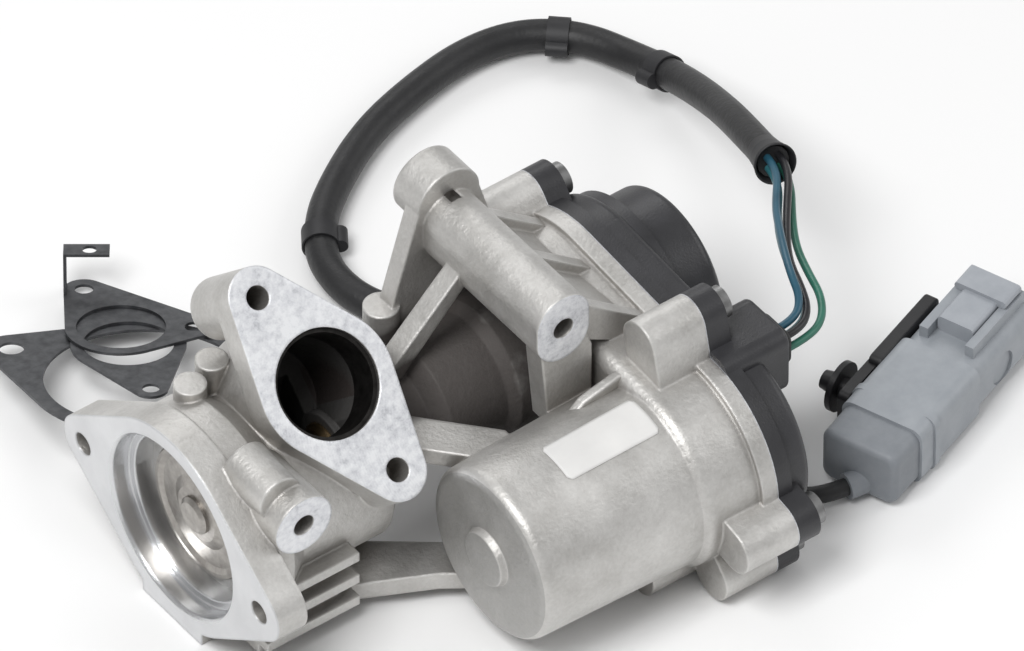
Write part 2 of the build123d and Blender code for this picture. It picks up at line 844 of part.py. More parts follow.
roller_length = barrel_outer_radius - barrel_inner_radius - 0.1
with BuildPart() as cam_rollers:
    for start_y in (barrel_inner_radius + 0.05, track_sleeve_inner_radius):
        for side in (-1, 1):
            with BuildSketch(from_front(pin_x, side * start_y, 0)):
                Circle(roller_radius)
                Circle(pin_radius + press_gap, mode=Mode.SUBTRACT)
            extrude(amount=-side * (roller_length - 0.1))
cam_rollers.part.label = "cam_rollers"
export_step(cam_rollers.part, "parts/cam_rollers.step")

# Helical slots of the barrel: a sector turned evenly along the stem, one for each end of the pin
slot_slope = math.atan(lead_per_turn / (2 * math.pi * barrel_inner_radius))
slot_half_height = roller_radius / math.cos(slot_slope) + slot_side_gap
slot_angle = 2 * slot_half_height / lead_per_turn * 360
slot_start_x = pin_x - valve_lift - roller_radius - cam_end_gap
slot_length = valve_lift + 2 * (roller_radius + cam_end_gap)
slot_start_angle = (slot_start_x - pin_x) / lead_per_turn * 360 - slot_angle / 2
cam_cutters = []
for half in (0, 180):
    with BuildSketch(across(slot_start_x)) as slot_sector:
        with BuildLine():
            CenterArc((0, 0), barrel_outer_radius + 1, slot_start_angle + half, slot_angle)
            CenterArc((0, 0), barrel_inner_radius - 1, slot_start_angle + half, slot_angle)
            for edge_angle in (slot_start_angle + half, slot_start_angle + half + slot_angle):
                turn = math.radians(edge_angle)
                Line(
                    ((barrel_inner_radius - 1) * math.cos(turn), (barrel_inner_radius - 1) * math.sin(turn)),
                    ((barrel_outer_radius + 1) * math.cos(turn), (barrel_outer_radius + 1) * math.sin(turn)),
                )
        make_face()
    cam_cutters.append(
        Solid.extrude_linear_with_rotation(
            slot_sector.sketch.faces()[0],
            center=(slot_start_x, 0, 0),
            normal=(slot_length, 0, 0),
            angle=slot_length / lead_per_turn * 360,
        )
    )

sector_centre = math.degrees(intermediate_direction) - output_swing / 2
sector_reach = 2 * second_module * output_teeth
with BuildPart() as output_gear:
    with BuildSketch(across(output_gear_x)):
        with BuildLine():
            Polyline(*gear_points(second_module, output_teeth, intermediate_direction), close=True)
        make_face()
        with BuildLine():
            Polyline(
                (0, 0),
                *[
                    (
                        sector_reach * math.cos(math.radians(sector_centre + step * output_sector / 2)),
                        sector_reach * math.sin(math.radians(sector_centre + step * output_sector / 2)),
                    )
                    for step in (-1, 0, 1)
                ],
                close=True,
            )
        make_face(mode=Mode.INTERSECT)
        Circle(barrel_outer_radius + 3.5)
    extrude(amount=output_gear_width)
    with BuildSketch(across(output_gear_x)):
        with PolarLocations(17.5, 3, sector_centre - 34, 102):
            Circle(2.6)
    extrude(amount=output_gear_width, mode=Mode.SUBTRACT)
    with BuildSketch(across(barrel_start_x)):
        Circle(barrel_outer_radius)
    extrude(amount=output_gear_x - barrel_start_x)
    with BuildSketch(across(output_gear_x)):
        Circle(spindle_radius)
    extrude(amount=spindle_end_x - output_gear_x)
    with BuildSketch(across(barrel_start_x)):
        Circle(barrel_inner_radius)
    extrude(amount=stem_end_x + 3 - barrel_start_x, mode=Mode.SUBTRACT)
    for cutter in cam_cutters:
        add(cutter, mode=Mode.SUBTRACT)
output_gear.part.label = "output_gear"
export_step(output_gear.part, "parts/output_gear.step")

with BuildPart() as barrel_bearings:
    for bearing_x in (bearing_one_x, bearing_two_x):
        with BuildSketch(across(bearing_x)):
            Circle(bearing_outer_radius)
            Circle(barrel_outer_radius + running_gap, mode=Mode.SUBTRACT)
        extrude(amount=bearing_width)
        for shield_x in (bearing_x, bearing_x + bearing_width - 0.6):
            with BuildSketch(across(shield_x)):
                Circle(bearing_outer_radius - 1.7)
                Circle(barrel_outer_radius + 1.7, mode=Mode.SUBTRACT)
            extrude(amount=0.6, mode=Mode.SUBTRACT)
barrel_bearings.part.label = "barrel_bearings"
export_step(barrel_bearings.part, "parts/barrel_bearings.step")

with BuildPart() as spring_hub:
    with BuildSketch(across(spring_start_x - 1)):
        Circle(spring_radius - spring_wire_radius - 0.3)
        Circle(spindle_radius + press_gap, mode=Mode.SUBTRACT)
    extrude(amount=spindle_end_x - 2 - spring_start_x)
spring_hub.part.label = "spring_hub"
export_step(spring_hub.part, "parts/spring_hub.step")

with BuildPart() as return_spring:
    with BuildLine() as coil:
        Helix(
            pitch=spring_pitch,
            height=spring_pitch * spring_turns,
            radius=spring_radius,
            center=(spring_start_x, 0, 0),
            direction=(1, 0, 0),
        )
    with BuildSketch(Plane(origin=coil.line @ 0, z_dir=coil.line % 0)):
        Circle(spring_wire_radius)
    sweep()
return_spring.part.label = "return_spring"
export_step(return_spring.part, "parts/return_spring.step")

with BuildPart() as sensor_magnet:
    with BuildSketch(across(spindle_end_x)):
        Circle(magnet_radius)
    extrude(amount=magnet_height)
sensor_magnet.part.label = "sensor_magnet"
export_step(sensor_magnet.part, "parts/sensor_magnet.step")


# Intermediate gear on its pin
pin_start_x = tray_floor_x - 5
pin_end_x = cover_top_x - cover_wall
hub_end_x = large_gear_end_x + 2
with BuildPart() as intermediate_gear:
    with BuildSketch(across(small_gear_x, intermediate_y, intermediate_z)):
        with BuildLine():
            Polyline(
                *gear_points(
                    second_module,
                    small_teeth,
                    intermediate_direction + math.pi + math.pi / small_teeth,
                ),
                close=True,
            )
        make_face()
    extrude(amount=large_gear_x - small_gear_x)
    with BuildSketch(across(large_gear_x, intermediate_y, intermediate_z)):
        with BuildLine():
            Polyline(
                *gear_points(first_module, large_teeth, first_direction + math.pi + math.pi / large_teeth),
                close=True,
            )
        make_face()
        with PolarLocations(13, 5):
            Circle(3.6, mode=Mode.SUBTRACT)
    extrude(amount=large_gear_width)
    with BuildSketch(across(large_gear_end_x, intermediate_y, intermediate_z)):
        Circle(5.5)
    extrude(amount=hub_end_x - large_gear_end_x)
    with BuildSketch(across(small_gear_x, intermediate_y, intermediate_z)):
        Circle(intermediate_pin_radius + running_gap)
    extrude(amount=hub_end_x - small_gear_x, mode=Mode.SUBTRACT)
intermediate_gear.part.label = "intermediate_gear"
export_step(intermediate_gear.part, "parts/intermediate_gear.step")

with BuildPart() as intermediate_pin:
    with BuildSketch(across(pin_start_x, intermediate_y, intermediate_z)):
        Circle(intermediate_pin_radius)
    extrude(amount=pin_end_x - pin_start_x)
intermediate_pin.part.label = "intermediate_pin"
export_step(intermediate_pin.part, "parts/intermediate_pin.step")


# Motor
motor_front_x = tray_inside_x - end_plate_thickness
case_inner_radius = motor_radius - case_thickness
bush_radius = motor_shaft_radius + 2.2
with BuildPart() as motor_case:
    with BuildSketch(across(motor_case_x, motor_y, motor_z)):
        Circle(motor_radius)
    extrude(amount=motor_front_x - motor_case_x)
    fillet(motor_case.faces().sort_by(Axis.X)[0].edges(), radius=1.0)
    with BuildSketch(across(motor_case_x + case_thickness, motor_y, motor_z)):
        Circle(case_inner_radius)
    extrude(amount=motor_front_x - motor_case_x, mode=Mode.SUBTRACT)
    with BuildSketch(across(motor_case_x, motor_y, motor_z)):
        Circle(bush_radius + 1.4)
    extrude(amount=4)
    with BuildSketch(across(motor_case_x, motor_y, motor_z)):
        Circle(bush_radius + press_gap)
    extrude(amount=4, mode=Mode.SUBTRACT)
motor_case.part.label = "motor_case"
export_step(motor_case.part, "parts/motor_case.step")

with BuildPart() as motor_bushes:
    for bush_x, bush_length in ((motor_case_x, 4.0), (motor_front_x - 1, end_plate_thickness + 1)):
        with BuildSketch(across(bush_x, motor_y, motor_z)):
            Circle(bush_radius)
            Circle(motor_shaft_radius + running_gap, mode=Mode.SUBTRACT)
        extrude(amount=bush_length)
motor_bushes.part.label = "motor_bushes"
export_step(motor_bushes.part, "parts/motor_bushes.step")

magnet_outer_radius = case_inner_radius - seat_gap
with BuildPart() as motor_magnets:
    for middle in (90, 270):
        with BuildSketch(across(motor_case_x + 8, motor_y, motor_z)):
            with BuildLine():
                CenterArc((0, 0), magnet_outer_radius, middle - magnet_angle / 2, magnet_angle)
                CenterArc((0, 0), magnet_outer_radius - magnet_thickness, middle - magnet_angle / 2, magnet_angle)
                for edge_angle in (middle - magnet_angle / 2, middle + magnet_angle / 2):
                    turn = math.radians(edge_angle)
                    inner = magnet_outer_radius - magnet_thickness
                    Line(
                        (inner * math.cos(turn), inner * math.sin(turn)),
                        (magnet_outer_radius * math.cos(turn), magnet_outer_radius * math.sin(turn)),
                    )
            make_face()
        extrude(amount=24)
motor_magnets.part.label = "motor_magnets"
export_step(motor_magnets.part, "parts/motor_magnets.step")

with BuildPart() as motor_armature:
    with BuildSketch(across(motor_case_x + 9, motor_y, motor_z)):
        Circle(armature_radius)
        with PolarLocations(armature_radius - 2.5, 5):
            Circle(2.4, mode=Mode.SUBTRACT)
            Rectangle(7, 1.6, mode=Mode.SUBTRACT)
        Circle(motor_shaft_radius + press_gap, mode=Mode.SUBTRACT)
    extrude(amount=22)
motor_armature.part.label = "motor_armature"
export_step(motor_armature.part, "parts/motor_armature.step")

with BuildPart() as motor_commutator:
    with BuildSketch(across(motor_case_x + 32, motor_y, motor_z)):
        Circle(5.5)
        Circle(motor_shaft_radius + press_gap, mode=Mode.SUBTRACT)
    extrude(amount=7)
motor_commutator.part.label = "motor_commutator"
export_step(motor_commutator.part, "parts/motor_commutator.step")

with BuildPart() as motor_brushes:
    for side in (-1, 1):
        with BuildSketch(across(motor_case_x + 33, motor_y, motor_z)):
            with Locations((0, side * (5.5 + running_gap + 4))):
                Rectangle(4, 8)
        extrude(amount=motor_front_x - motor_case_x - 33)
motor_brushes.part.label = "motor_brushes"
export_step(motor_brushes.part, "parts/motor_brushes.step")

with BuildPart() as motor_shaft:
    with BuildSketch(across(motor_case_x, motor_y, motor_z)):
        Circle(motor_shaft_radius)
    extrude(amount=pinion_x + pinion_width - motor_case_x)
motor_shaft.part.label = "motor_shaft"
export_step(motor_shaft.part, "parts/motor_shaft.step")

with BuildPart() as motor_pinion:
    with BuildSketch(across(pinion_x, motor_y, motor_z)):
        with BuildLine():
            Polyline(*gear_points(first_module, pinion_teeth, first_direction), close=True)
        make_face()
        Circle(motor_shaft_radius + press_gap, mode=Mode.SUBTRACT)
    extrude(amount=pinion_width)
motor_pinion.part.label = "motor_pinion"
export_step(motor_pinion.part, "parts/motor_pinion.step")

with BuildPart() as motor_end_plate:
    with BuildSketch(across(motor_front_x, motor_y, motor_z)):
        Circle(motor_radius)
    extrude(amount=end_plate_thickness)
    with BuildSketch(across(tray_inside_x, motor_y, motor_z)):
        Circle(10)
        with Locations(*motor_screw_spots):
            Circle(3.8)
        make_hull()
    extrude(amount=motor_flange_thickness)
    with BuildSketch(across(motor_front_x, motor_y, motor_z)):
        Circle(bush_radius + press_gap)
    extrude(amount=end_plate_thickness + motor_flange_thickness, mode=Mode.SUBTRACT)
    with BuildSketch(across(tray_inside_x, motor_y, motor_z)):
        with Locations(*motor_screw_spots):
            Circle(motor_screw_radius + press_gap)
    extrude(amount=motor_flange_thickness, mode=Mode.SUBTRACT)
motor_end_plate.part.label = "motor_end_plate"
export_step(motor_end_plate.part, "parts/motor_end_plate.step")

with BuildPart() as motor_screws:
    with BuildSketch(across(tray_inside_x + motor_flange_thickness, motor_y, motor_z)):
        with Locations(*motor_screw_spots):
            Circle(motor_screw_radius)
    extrude(amount=-motor_screw_length)
    with BuildSketch(across(tray_inside_x + motor_flange_thickness, motor_y, motor_z)):
        with Locations(*motor_screw_spots):
            Circle(motor_screw_radius * 1.9)
            RegularPolygon(motor_screw_radius, 6, mode=Mode.SUBTRACT)
    extrude(amount=2)
    with BuildSketch(across(tray_inside_x + motor_flange_thickness, motor_y, motor_z)):
        with Locations(*motor_screw_spots):
            Circle(motor_screw_radius * 1.9)
    extrude(amount=0.8)
motor_screws.part.label = "motor_screws"
export_step(motor_screws.part, "parts/motor_screws.step")

pocket_end_x = motor_shell_start_x + motor_shell_end_wall
with BuildPart() as motor_disc_spring:
    with BuildSketch(Plane(origin=(0, motor_y, motor_z), x_dir=(1, 0, 0), z_dir=(0, -1, 0))):
        with BuildLine():
            Polyline(
                (pocket_end_x + seat_gap, 9),
                (motor_case_x - seat_gap - 0.6, 17),
                (motor_case_x - seat_gap, 17),
                (pocket_end_x + seat_gap + 0.6, 9),
                close=True,
            )
        make_face()
    revolve(axis=Axis((0, motor_y, motor_z), (1, 0, 0)))
motor_disc_spring.part.label = "motor_disc_spring"
export_step(motor_disc_spring.part, "parts/motor_disc_spring.step")


# Plastic cover with its ears, its step, its dome and the tower that the wires leave by
room_top_x = cover_top_x - cover_wall
drum_room_top_x = drum_top_x - cover_wall
dome_room_top_x = dome_top_x - cover_wall
with BuildPart() as gear_cover:
    with BuildSketch(across(rim_x)):
        Circle(gear_room_radius + tray_wall + 1.6)
        with Locations((motor_y, motor_z)):
            Circle(motor_room_radius + tray_wall + 1.6)
        make_hull()
    extrude(amount=cover_flange_thickness)
    for ear_y, ear_z in ear_spots:
        with BuildSketch(across(rim_x)):
            with Locations((ear_y, ear_z), ear_root(ear_y, ear_z)):
                Circle(ear_radius)
            make_hull()
        extrude(amount=cover_flange_thickness + 2.5)
    with BuildSketch(across(rim_x)):
        Circle(gear_room_radius + cover_wall)
        with Locations((motor_y, motor_z)):
            Circle(motor_room_radius + cover_wall)
        make_hull()
    extrude(amount=cover_top_x - rim_x)
    fillet(gear_cover.faces().sort_by(Axis.X)[-1].edges(), radius=cover_corner)
    with BuildSketch(across(rim_x)):
        Circle(drum_radius)
    extrude(amount=drum_top_x - rim_x)
    with BuildSketch(across(rim_x)):
        Circle(dome_radius)
    extrude(amount=dome_top_x - rim_x)
    fillet(gear_cover.faces().sort_by(Axis.X)[-1].edges(), radius=cover_corner)
    with BuildSketch(across(rim_x)):
        with Locations((tower_y, tower_z)):
            RectangleRounded(tower_width, tower_height, 4)
    extrude(amount=tower_top_x - rim_x)
    fillet(
        gear_cover.faces().filter_by(lambda f: abs(f.center().X - tower_top_x) < 0.01).edges(),
        radius=cover_corner / 2,
    )
    with BuildSketch(across(cover_top_x - 1, motor_y, motor_z - 4)):
        Circle(13)
    extrude(amount=3, taper=12)
    # Hollow inside
    with BuildSketch(across(rim_x)):
        Circle(gear_room_radius)
        with Locations((motor_y, motor_z)):
            Circle(motor_room_radius)
        make_hull()
    extrude(amount=room_top_x - rim_x, mode=Mode.SUBTRACT)
    with BuildSketch(across(rim_x)):
        Circle(drum_radius - cover_wall)
    extrude(amount=drum_room_top_x - rim_x, mode=Mode.SUBTRACT)
    with BuildSketch(across(rim_x)):
        Circle(dome_radius - cover_wall)
    extrude(amount=dome_room_top_x - rim_x, mode=Mode.SUBTRACT)
    with BuildSketch(across(rim_x)):
        with Locations((tower_y, tower_z)):
            Rectangle(tower_width - 2 * cover_wall, tower_height - 2 * cover_wall)
    extrude(amount=tower_top_x - cover_wall - rim_x, mode=Mode.SUBTRACT)
    # Boss that holds the end of the intermediate pin
    with BuildSketch(across(hub_end_x + 0.5, intermediate_y, intermediate_z)):
        Circle(intermediate_pin_radius + 2.6)
    extrude(amount=room_top_x - hub_end_x - 0.5)
    with BuildSketch(across(hub_end_x + 0.5, intermediate_y, intermediate_z)):
        Circle(intermediate_pin_radius + press_gap)
    extrude(amount=room_top_x - hub_end_x - 0.5, mode=Mode.SUBTRACT)
    # Posts that carry the sensor board
    with BuildSketch(across(dome_room_top_x - board_gap)):
        with PolarLocations(board_radius - 2.5, 3, 90):
            Circle(2)
    extrude(amount=board_gap)
    # Shelf that the leg of the return spring rests on
    with BuildSketch(across(spring_start_x + spring_pitch * spring_turns + spring_wire_radius)):
        with Locations((dome_radius - cover_wall - 4, 0)):
            Rectangle(8.5, 6)
    extrude(amount=4)
    # Groove for the seal, holes for the screws and the wires
    with BuildSketch(across(rim_x)):
        Circle(gear_room_radius + seal_section + 0.6)
        with Locations((motor_y, motor_z)):
            Circle(motor_room_radius + seal_section + 0.6)
        make_hull()
        with BuildSketch(across(rim_x), mode=Mode.PRIVATE) as groove_inside:
            Circle(gear_room_radius + 0.6)
            with Locations((motor_y, motor_z)):
                Circle(motor_room_radius + 0.6)
            make_hull()
        add(groove_inside.sketch_local, mode=Mode.SUBTRACT)
    extrude(amount=seal_depth, mode=Mode.SUBTRACT)
    with BuildSketch(across(rim_x)):
        with Locations(*ear_spots):
            Circle(ear_sleeve_radius + press_gap)
    extrude(amount=cover_flange_thickness + 2.5, mode=Mode.SUBTRACT)
    with BuildSketch(across(tower_top_x)):
        with Locations((tower_y, tower_z)):
            RectangleRounded(grommet_width, grommet_height, 3)
    extrude(amount=-cover_wall, mode=Mode.SUBTRACT)
gear_cover.part.label = "gear_cover"
export_step(gear_cover.part, "parts/gear_cover.step")

with BuildPart() as cover_seal:
    with BuildSketch(across(rim_x + press_gap)):
        Circle(gear_room_radius + seal_section + 0.6 - press_gap)
        with Locations((motor_y, motor_z)):
            Circle(motor_room_radius + seal_section + 0.6 - press_gap)
        make_hull()
    extrude(amount=seal_depth - 2 * press_gap)
    with BuildSketch(across(rim_x + press_gap)):
        Circle(gear_room_radius + 0.6 + press_gap)
        with Locations((motor_y, motor_z)):
            Circle(motor_room_radius + 0.6 + press_gap)
        make_hull()
    extrude(amount=seal_depth, mode=Mode.SUBTRACT)
cover_seal.part.label = "cover_seal"
export_step(cover_seal.part, "parts/cover_seal.step")

ear_top_x = rim_x + cover_flange_thickness + 2.5
with BuildPart() as ear_sleeves:
    with BuildSketch(across(rim_x)):
        with Locations(*ear_spots):
            Circle(ear_sleeve_radius)
            Circle(screw_shank_radius + 0.2, mode=Mode.SUBTRACT)
    extrude(amount=cover_flange_thickness + 2.5)
ear_sleeves.part.label = "ear_sleeves"
export_step(ear_sleeves.part, "parts/ear_sleeves.step")

with BuildPart() as cover_screws:
    with BuildSketch(across(ear_top_x)):
        with Locations(*ear_spots):
            Circle(screw_shank_radius)
    extrude(amount=-screw_length)
    with BuildSketch(across(ear_top_x)):
        with Locations(*ear_spots):
            Circle(screw_head_radius)
    extrude(amount=screw_head_height)
    with BuildSketch(across(ear_top_x + screw_head_height)):
        with Locations(*ear_spots):
            RegularPolygon(screw_socket_radius, 6)
    extrude(amount=-screw_socket_depth, mode=Mode.SUBTRACT)
cover_screws.part.label = "cover_screws"
export_step(cover_screws.part, "parts/cover_screws.step")

board_x = dome_room_top_x - board_gap - board_thickness
with BuildPart() as sensor_board:
    with BuildSketch(across(board_x)):
        Circle(board_radius)
    extrude(amount=board_thickness)
    with BuildSketch(across(board_x)):
        Rectangle(7, 7)
        with Locations((10, 3), (-10, -4)):
            Rectangle(3, 4)
    extrude(amount=-1.5)
sensor_board.part.label = "sensor_board"
export_step(sensor_board.part, "parts/sensor_board.step")

wire_start_x = tower_top_x + grommet_reach
with BuildPart() as wire_grommet:
    with BuildSketch(across(tower_top_x - cover_wall)):
        with Locations((tower_y, tower_z)):
            RectangleRounded(grommet_width - 2 * press_gap, grommet_height - 2 * press_gap, 3 - press_gap)
    extrude(amount=cover_wall + grommet_reach)
    fillet(wire_grommet.faces().sort_by(Axis.X)[-1].edges(), radius=1.2)
wire_grommet.part.label = "wire_grommet"
export_step(wire_grommet.part, "parts/wire_grommet.step")


# Lead: every path is straight runs joined by arcs
def lay(points, diameter, label):
    """Tube along a route, with its volume set against its section times its length."""
    radii = route(points, diameter, label)
    with BuildPart() as tube:
        with BuildLine() as path:
            FilletPolyline(*points, radius=radii)
        with BuildSketch(Plane(origin=path.line @ 0, z_dir=path.line % 0)):
            Circle(diameter / 2)
        sweep()
    wire = path.wires()[0]
    straight = math.pi * diameter**2 / 4 * wire.length
    print(label, "length", round(wire.length, 1), "volume share", round(tube.part.volume / straight, 4))
    tube.part.label = label
    export_step(tube.part, f"parts/{label}.step")
    return wire


mouth_direction = (Vector(*sleeve_points[1]) - Vector(*mouth)).normalized()
mouth_side = mouth_direction.cross(Vector(0, 0, 1)).normalized()
mouth_up = mouth_side.cross(mouth_direction)
for wire_name, middle in wire_middles.items():
    side, up = wire_corners[wire_name]
    start = (wire_start_x, middle[0][1], middle[0][2])
    end = Vector(*mouth) - mouth_side * side * wire_spread + mouth_up * up * wire_spread
    before_end = end - mouth_direction * 9.0
    lay([start, *middle, tuple(before_end), tuple(end)], wire_diameter, wire_name)

sleeve_wire = lay(sleeve_points, sleeve_diameter, "harness_sleeve")

with BuildPart() as tape_wraps:
    for share in wrap_shares:
        tangent = sleeve_wire % share
        inward = Vector(0, 0, 1).cross(tangent)
        with BuildSketch(Plane(origin=sleeve_wire @ share, x_dir=inward, z_dir=tangent)):
            Circle(sleeve_diameter / 2 + wrap_thickness)
            with Locations((sleeve_diameter / 2 + wrap_thickness, 0)):
                Circle(wrap_knot_radius)
            Circle(sleeve_diameter / 2 + wrap_bend_gap, mode=Mode.SUBTRACT)
        extrude(amount=wrap_length / 2, both=True)
tape_wraps.part.label = "tape_wraps"
export_step(tape_wraps.part, "parts/tape_wraps.step")


# Connector, laid on the surface and turned in plan
axis_turn = math.radians(connector_turn)
along = Vector(math.cos(axis_turn), math.sin(axis_turn), 0)
left = Vector(-math.sin(axis_turn), math.cos(axis_turn), 0)
connector_origin = Vector(connector_x, connector_y, floor_z + connector_height / 2)


def down_connector(distance, side=0.0, up=0.0):
    """Plane square to the connector, with local axes to its left and up."""
    origin = connector_origin + along * distance + left * side + Vector(0, 0, up)
    return Plane(origin=origin, x_dir=left, z_dir=along)


def beside_connector(distance, side, up=0.0, outward=1):
    """Plane on a side of the connector that faces left or right."""
    origin = connector_origin + along * distance + left * side + Vector(0, 0, up)
    return Plane(origin=origin, x_dir=along, z_dir=left * outward)


gland_direction = Vector(math.cos(math.radians(gland_turn)), math.sin(math.radians(gland_turn)), 0)
gland_mouth = connector_origin + Vector(0, 0, gland_drop) - gland_direction * gland_length
lay(
    [sleeve_points[-1], *tail_middle, tuple(gland_mouth - gland_direction * 4.5), tuple(gland_mouth)],
    tail_diameter,
    "harness_tail",
)

with BuildPart() as connector_cap:
    with BuildSketch(down_connector(0)):
        RectangleRounded(connector_width - 2 * cap_step, connector_height - 2 * cap_step, 3.5)
    extrude(amount=cap_length)
    fillet(connector_cap.faces().sort_by(Axis(tuple(connector_origin), tuple(along)))[0].edges(), radius=2)
    with BuildSketch(Plane(origin=gland_mouth, z_dir=gland_direction)):
        Circle(tail_diameter / 2 + gland_wall)
    extrude(amount=gland_length + 2)
connector_cap.part.label = "connector_cap"
export_step(connector_cap.part, "parts/connector_cap.step")

body_length = connector_length - cap_length
with BuildPart() as connector_body:
    with BuildSketch(down_connector(cap_length)):
        RectangleRounded(connector_width, connector_height, 3.5)
    extrude(amount=body_length / 2)
    with BuildSketch(down_connector(cap_length + body_length / 2)):
        RectangleRounded(connector_width - 1.6, connector_height - 1.2, 5)
    extrude(amount=body_length / 2)
    with BuildSketch(down_connector(cap_length + 6)):
        RectangleRounded(connector_width + 1.2, connector_height, 3.5)
    extrude(amount=2.4)
    # Socket that the mating plug enters
    with BuildSketch(down_connector(connector_length)):
        RectangleRounded(connector_width - 1.6 - 2 * connector_wall, connector_height - 1.2 - 2 * connector_wall, 3)
    extrude(amount=-connector_socket_depth, mode=Mode.SUBTRACT)
    # Rails of the lock slide on top, with the channel between them
    with BuildSketch(down_connector(connector_length - lock_length - 6, 0, connector_height / 2 - 0.8)):
        with Locations((-(lock_width / 2 + 1.6), 1.6), (lock_width / 2 + 1.6, 1.6)):
            Rectangle(2.6, 4.4)
    extrude(amount=lock_length + 6)
    # Round recess on the right side, near the front
    with BuildSketch(beside_connector(connector_length - 16, -(connector_width / 2), -1, -1)):
        Circle(5)
    extrude(amount=-1.6, mode=Mode.SUBTRACT)
connector_body.part.label = "connector_body"
export_step(connector_body.part, "parts/connector_body.step")

with BuildPart() as connector_lock:
    with BuildSketch(
        down_connector(connector_length - lock_length - 1.5, 0, connector_height / 2 - 0.6 + lock_height / 2 + seat_gap)
    ):
        RectangleRounded(lock_width, lock_height, 1.2)
    extrude(amount=lock_length)
    with BuildSketch(down_connector(connector_length - 9, 0, connector_height / 2 + lock_height - 0.6)):
        RectangleRounded(lock_width + 5, 2.4, 1.1)
    extrude(amount=8)
connector_lock.part.label = "connector_lock"
export_step(connector_lock.part, "parts/connector_lock.step")

with BuildPart() as connector_terminals:
    with BuildSketch(down_connector(connector_length - connector_socket_depth)):
        with GridLocations(4.2, 5, 4, 2):
            Rectangle(1.5, 0.8)
    extrude(amount=connector_socket_depth * 0.6)
connector_terminals.part.label = "connector_terminals"
export_step(connector_terminals.part, "parts/connector_terminals.step")

with BuildPart() as mounting_clip:
    with BuildSketch(beside_connector(clip_distance, connector_width / 2 + 0.6 + seat_gap, 0)):
        RectangleRounded(17, 13, 2)
    extrude(amount=3)
    with BuildSketch(beside_connector(clip_distance, connector_width / 2 + 3.6, 0)):
        Circle(3.2)
    extrude(amount=4.5)
    with BuildSketch(beside_connector(clip_distance, connector_width / 2 + 7, 0)):
        Circle(7.2)
    extrude(amount=1.6)
    with BuildSketch(beside_connector(clip_distance, connector_width / 2 + 8.6, 0)):
        Circle(3.4)
    extrude(amount=4.5, taper=10)
mounting_clip.part.label = "mounting_clip"
export_step(mounting_clip.part, "parts/mounting_clip.step")


# Loose gaskets, each flat and leaning the same way
view_turn = math.radians(gasket_view_turn)
lean = math.radians(gasket_lean)
gasket_right = Vector(math.cos(view_turn), -math.sin(view_turn), 0)
gasket_away = Vector(
    math.sin(view_turn) * math.cos(lean),
    math.cos(view_turn) * math.cos(lean),
    -math.sin(lean),
)
gasket_normal = gasket_right.cross(gasket_away)


def gasket_plane(layer, right=0.0, away=0.0):
    """Plane of one of the stacked gaskets."""
    origin = Vector(*gasket_corner) + gasket_right * right + gasket_away * away
    origin = origin + gasket_normal * layer * (gasket_thickness + 0.05)
    return Plane(origin=origin, x_dir=gasket_right, z_dir=gasket_normal)


with BuildPart() as outlet_gasket:
    with BuildSketch(gasket_plane(0, 4, -20)):
        outlet_gasket_ears = [
            (outlet_bolt_reach * math.cos(turn), outlet_bolt_reach * math.sin(turn))
            for turn in (math.radians(outlet_gasket_turn), math.radians(outlet_gasket_turn + 180))
        ]
        Circle(outlet_ring_radius - 1)
        with Locations(*outlet_gasket_ears):
            Circle(outlet_ear_radius - 1)
        make_hull()
        Circle(outlet_bore_radius, mode=Mode.SUBTRACT)
        with Locations(*outlet_gasket_ears):
            Circle(outlet_bolt_hole_radius, mode=Mode.SUBTRACT)
    extrude(amount=gasket_thickness)
outlet_gasket.part.label = "outlet_gasket"
export_step(outlet_gasket.part, "parts/outlet_gasket.step")

with BuildPart() as inlet_gasket:
    with BuildSketch(gasket_plane(1, -0.4, -2.6)):
        Circle(15.5)
        with Locations((6.4, -25), (-6.4, 25)):
            Circle(4.6)
        make_hull()
        Circle(12.2, mode=Mode.SUBTRACT)
        with Locations((6.4, -25), (-6.4, 25)):
            Circle(2.4, mode=Mode.SUBTRACT)
    extrude(amount=gasket_thickness)
inlet_gasket.part.label = "inlet_gasket"
export_step(inlet_gasket.part, "parts/inlet_gasket.step")

with BuildPart() as cooler_gasket:
    with BuildSketch(gasket_plane(2, -2.5, 5.2)):
        Circle(15)
        with Locations((-10.3, 21.2), (19.5, 0)):
            Circle(5.5)
        make_hull()
        Circle(12, mode=Mode.SUBTRACT)
        with Locations((-10.3, 21.2), (19.5, 0)):
            Circle(2.6, mode=Mode.SUBTRACT)
    extrude(amount=gasket_thickness)
    # Tab that stands up from the ear, with its own hole
    with BuildSketch(gasket_plane(2, -17.8, 26)):
        Rectangle(gasket_thickness, 6)
    extrude(amount=tab_height)
    with BuildSketch(gasket_plane(2, -17.8 - gasket_thickness / 2, 26).offset(tab_height)):
        with Locations((6.2, 0)):
            Rectangle(12.4, 6)
        with Locations((7, 0)):
            Circle(2, mode=Mode.SUBTRACT)
    extrude(amount=-gasket_thickness)
cooler_gasket.part.label = "cooler_gasket"
export_step(cooler_gasket.part, "parts/cooler_gasket.step")
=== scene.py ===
import json
import math

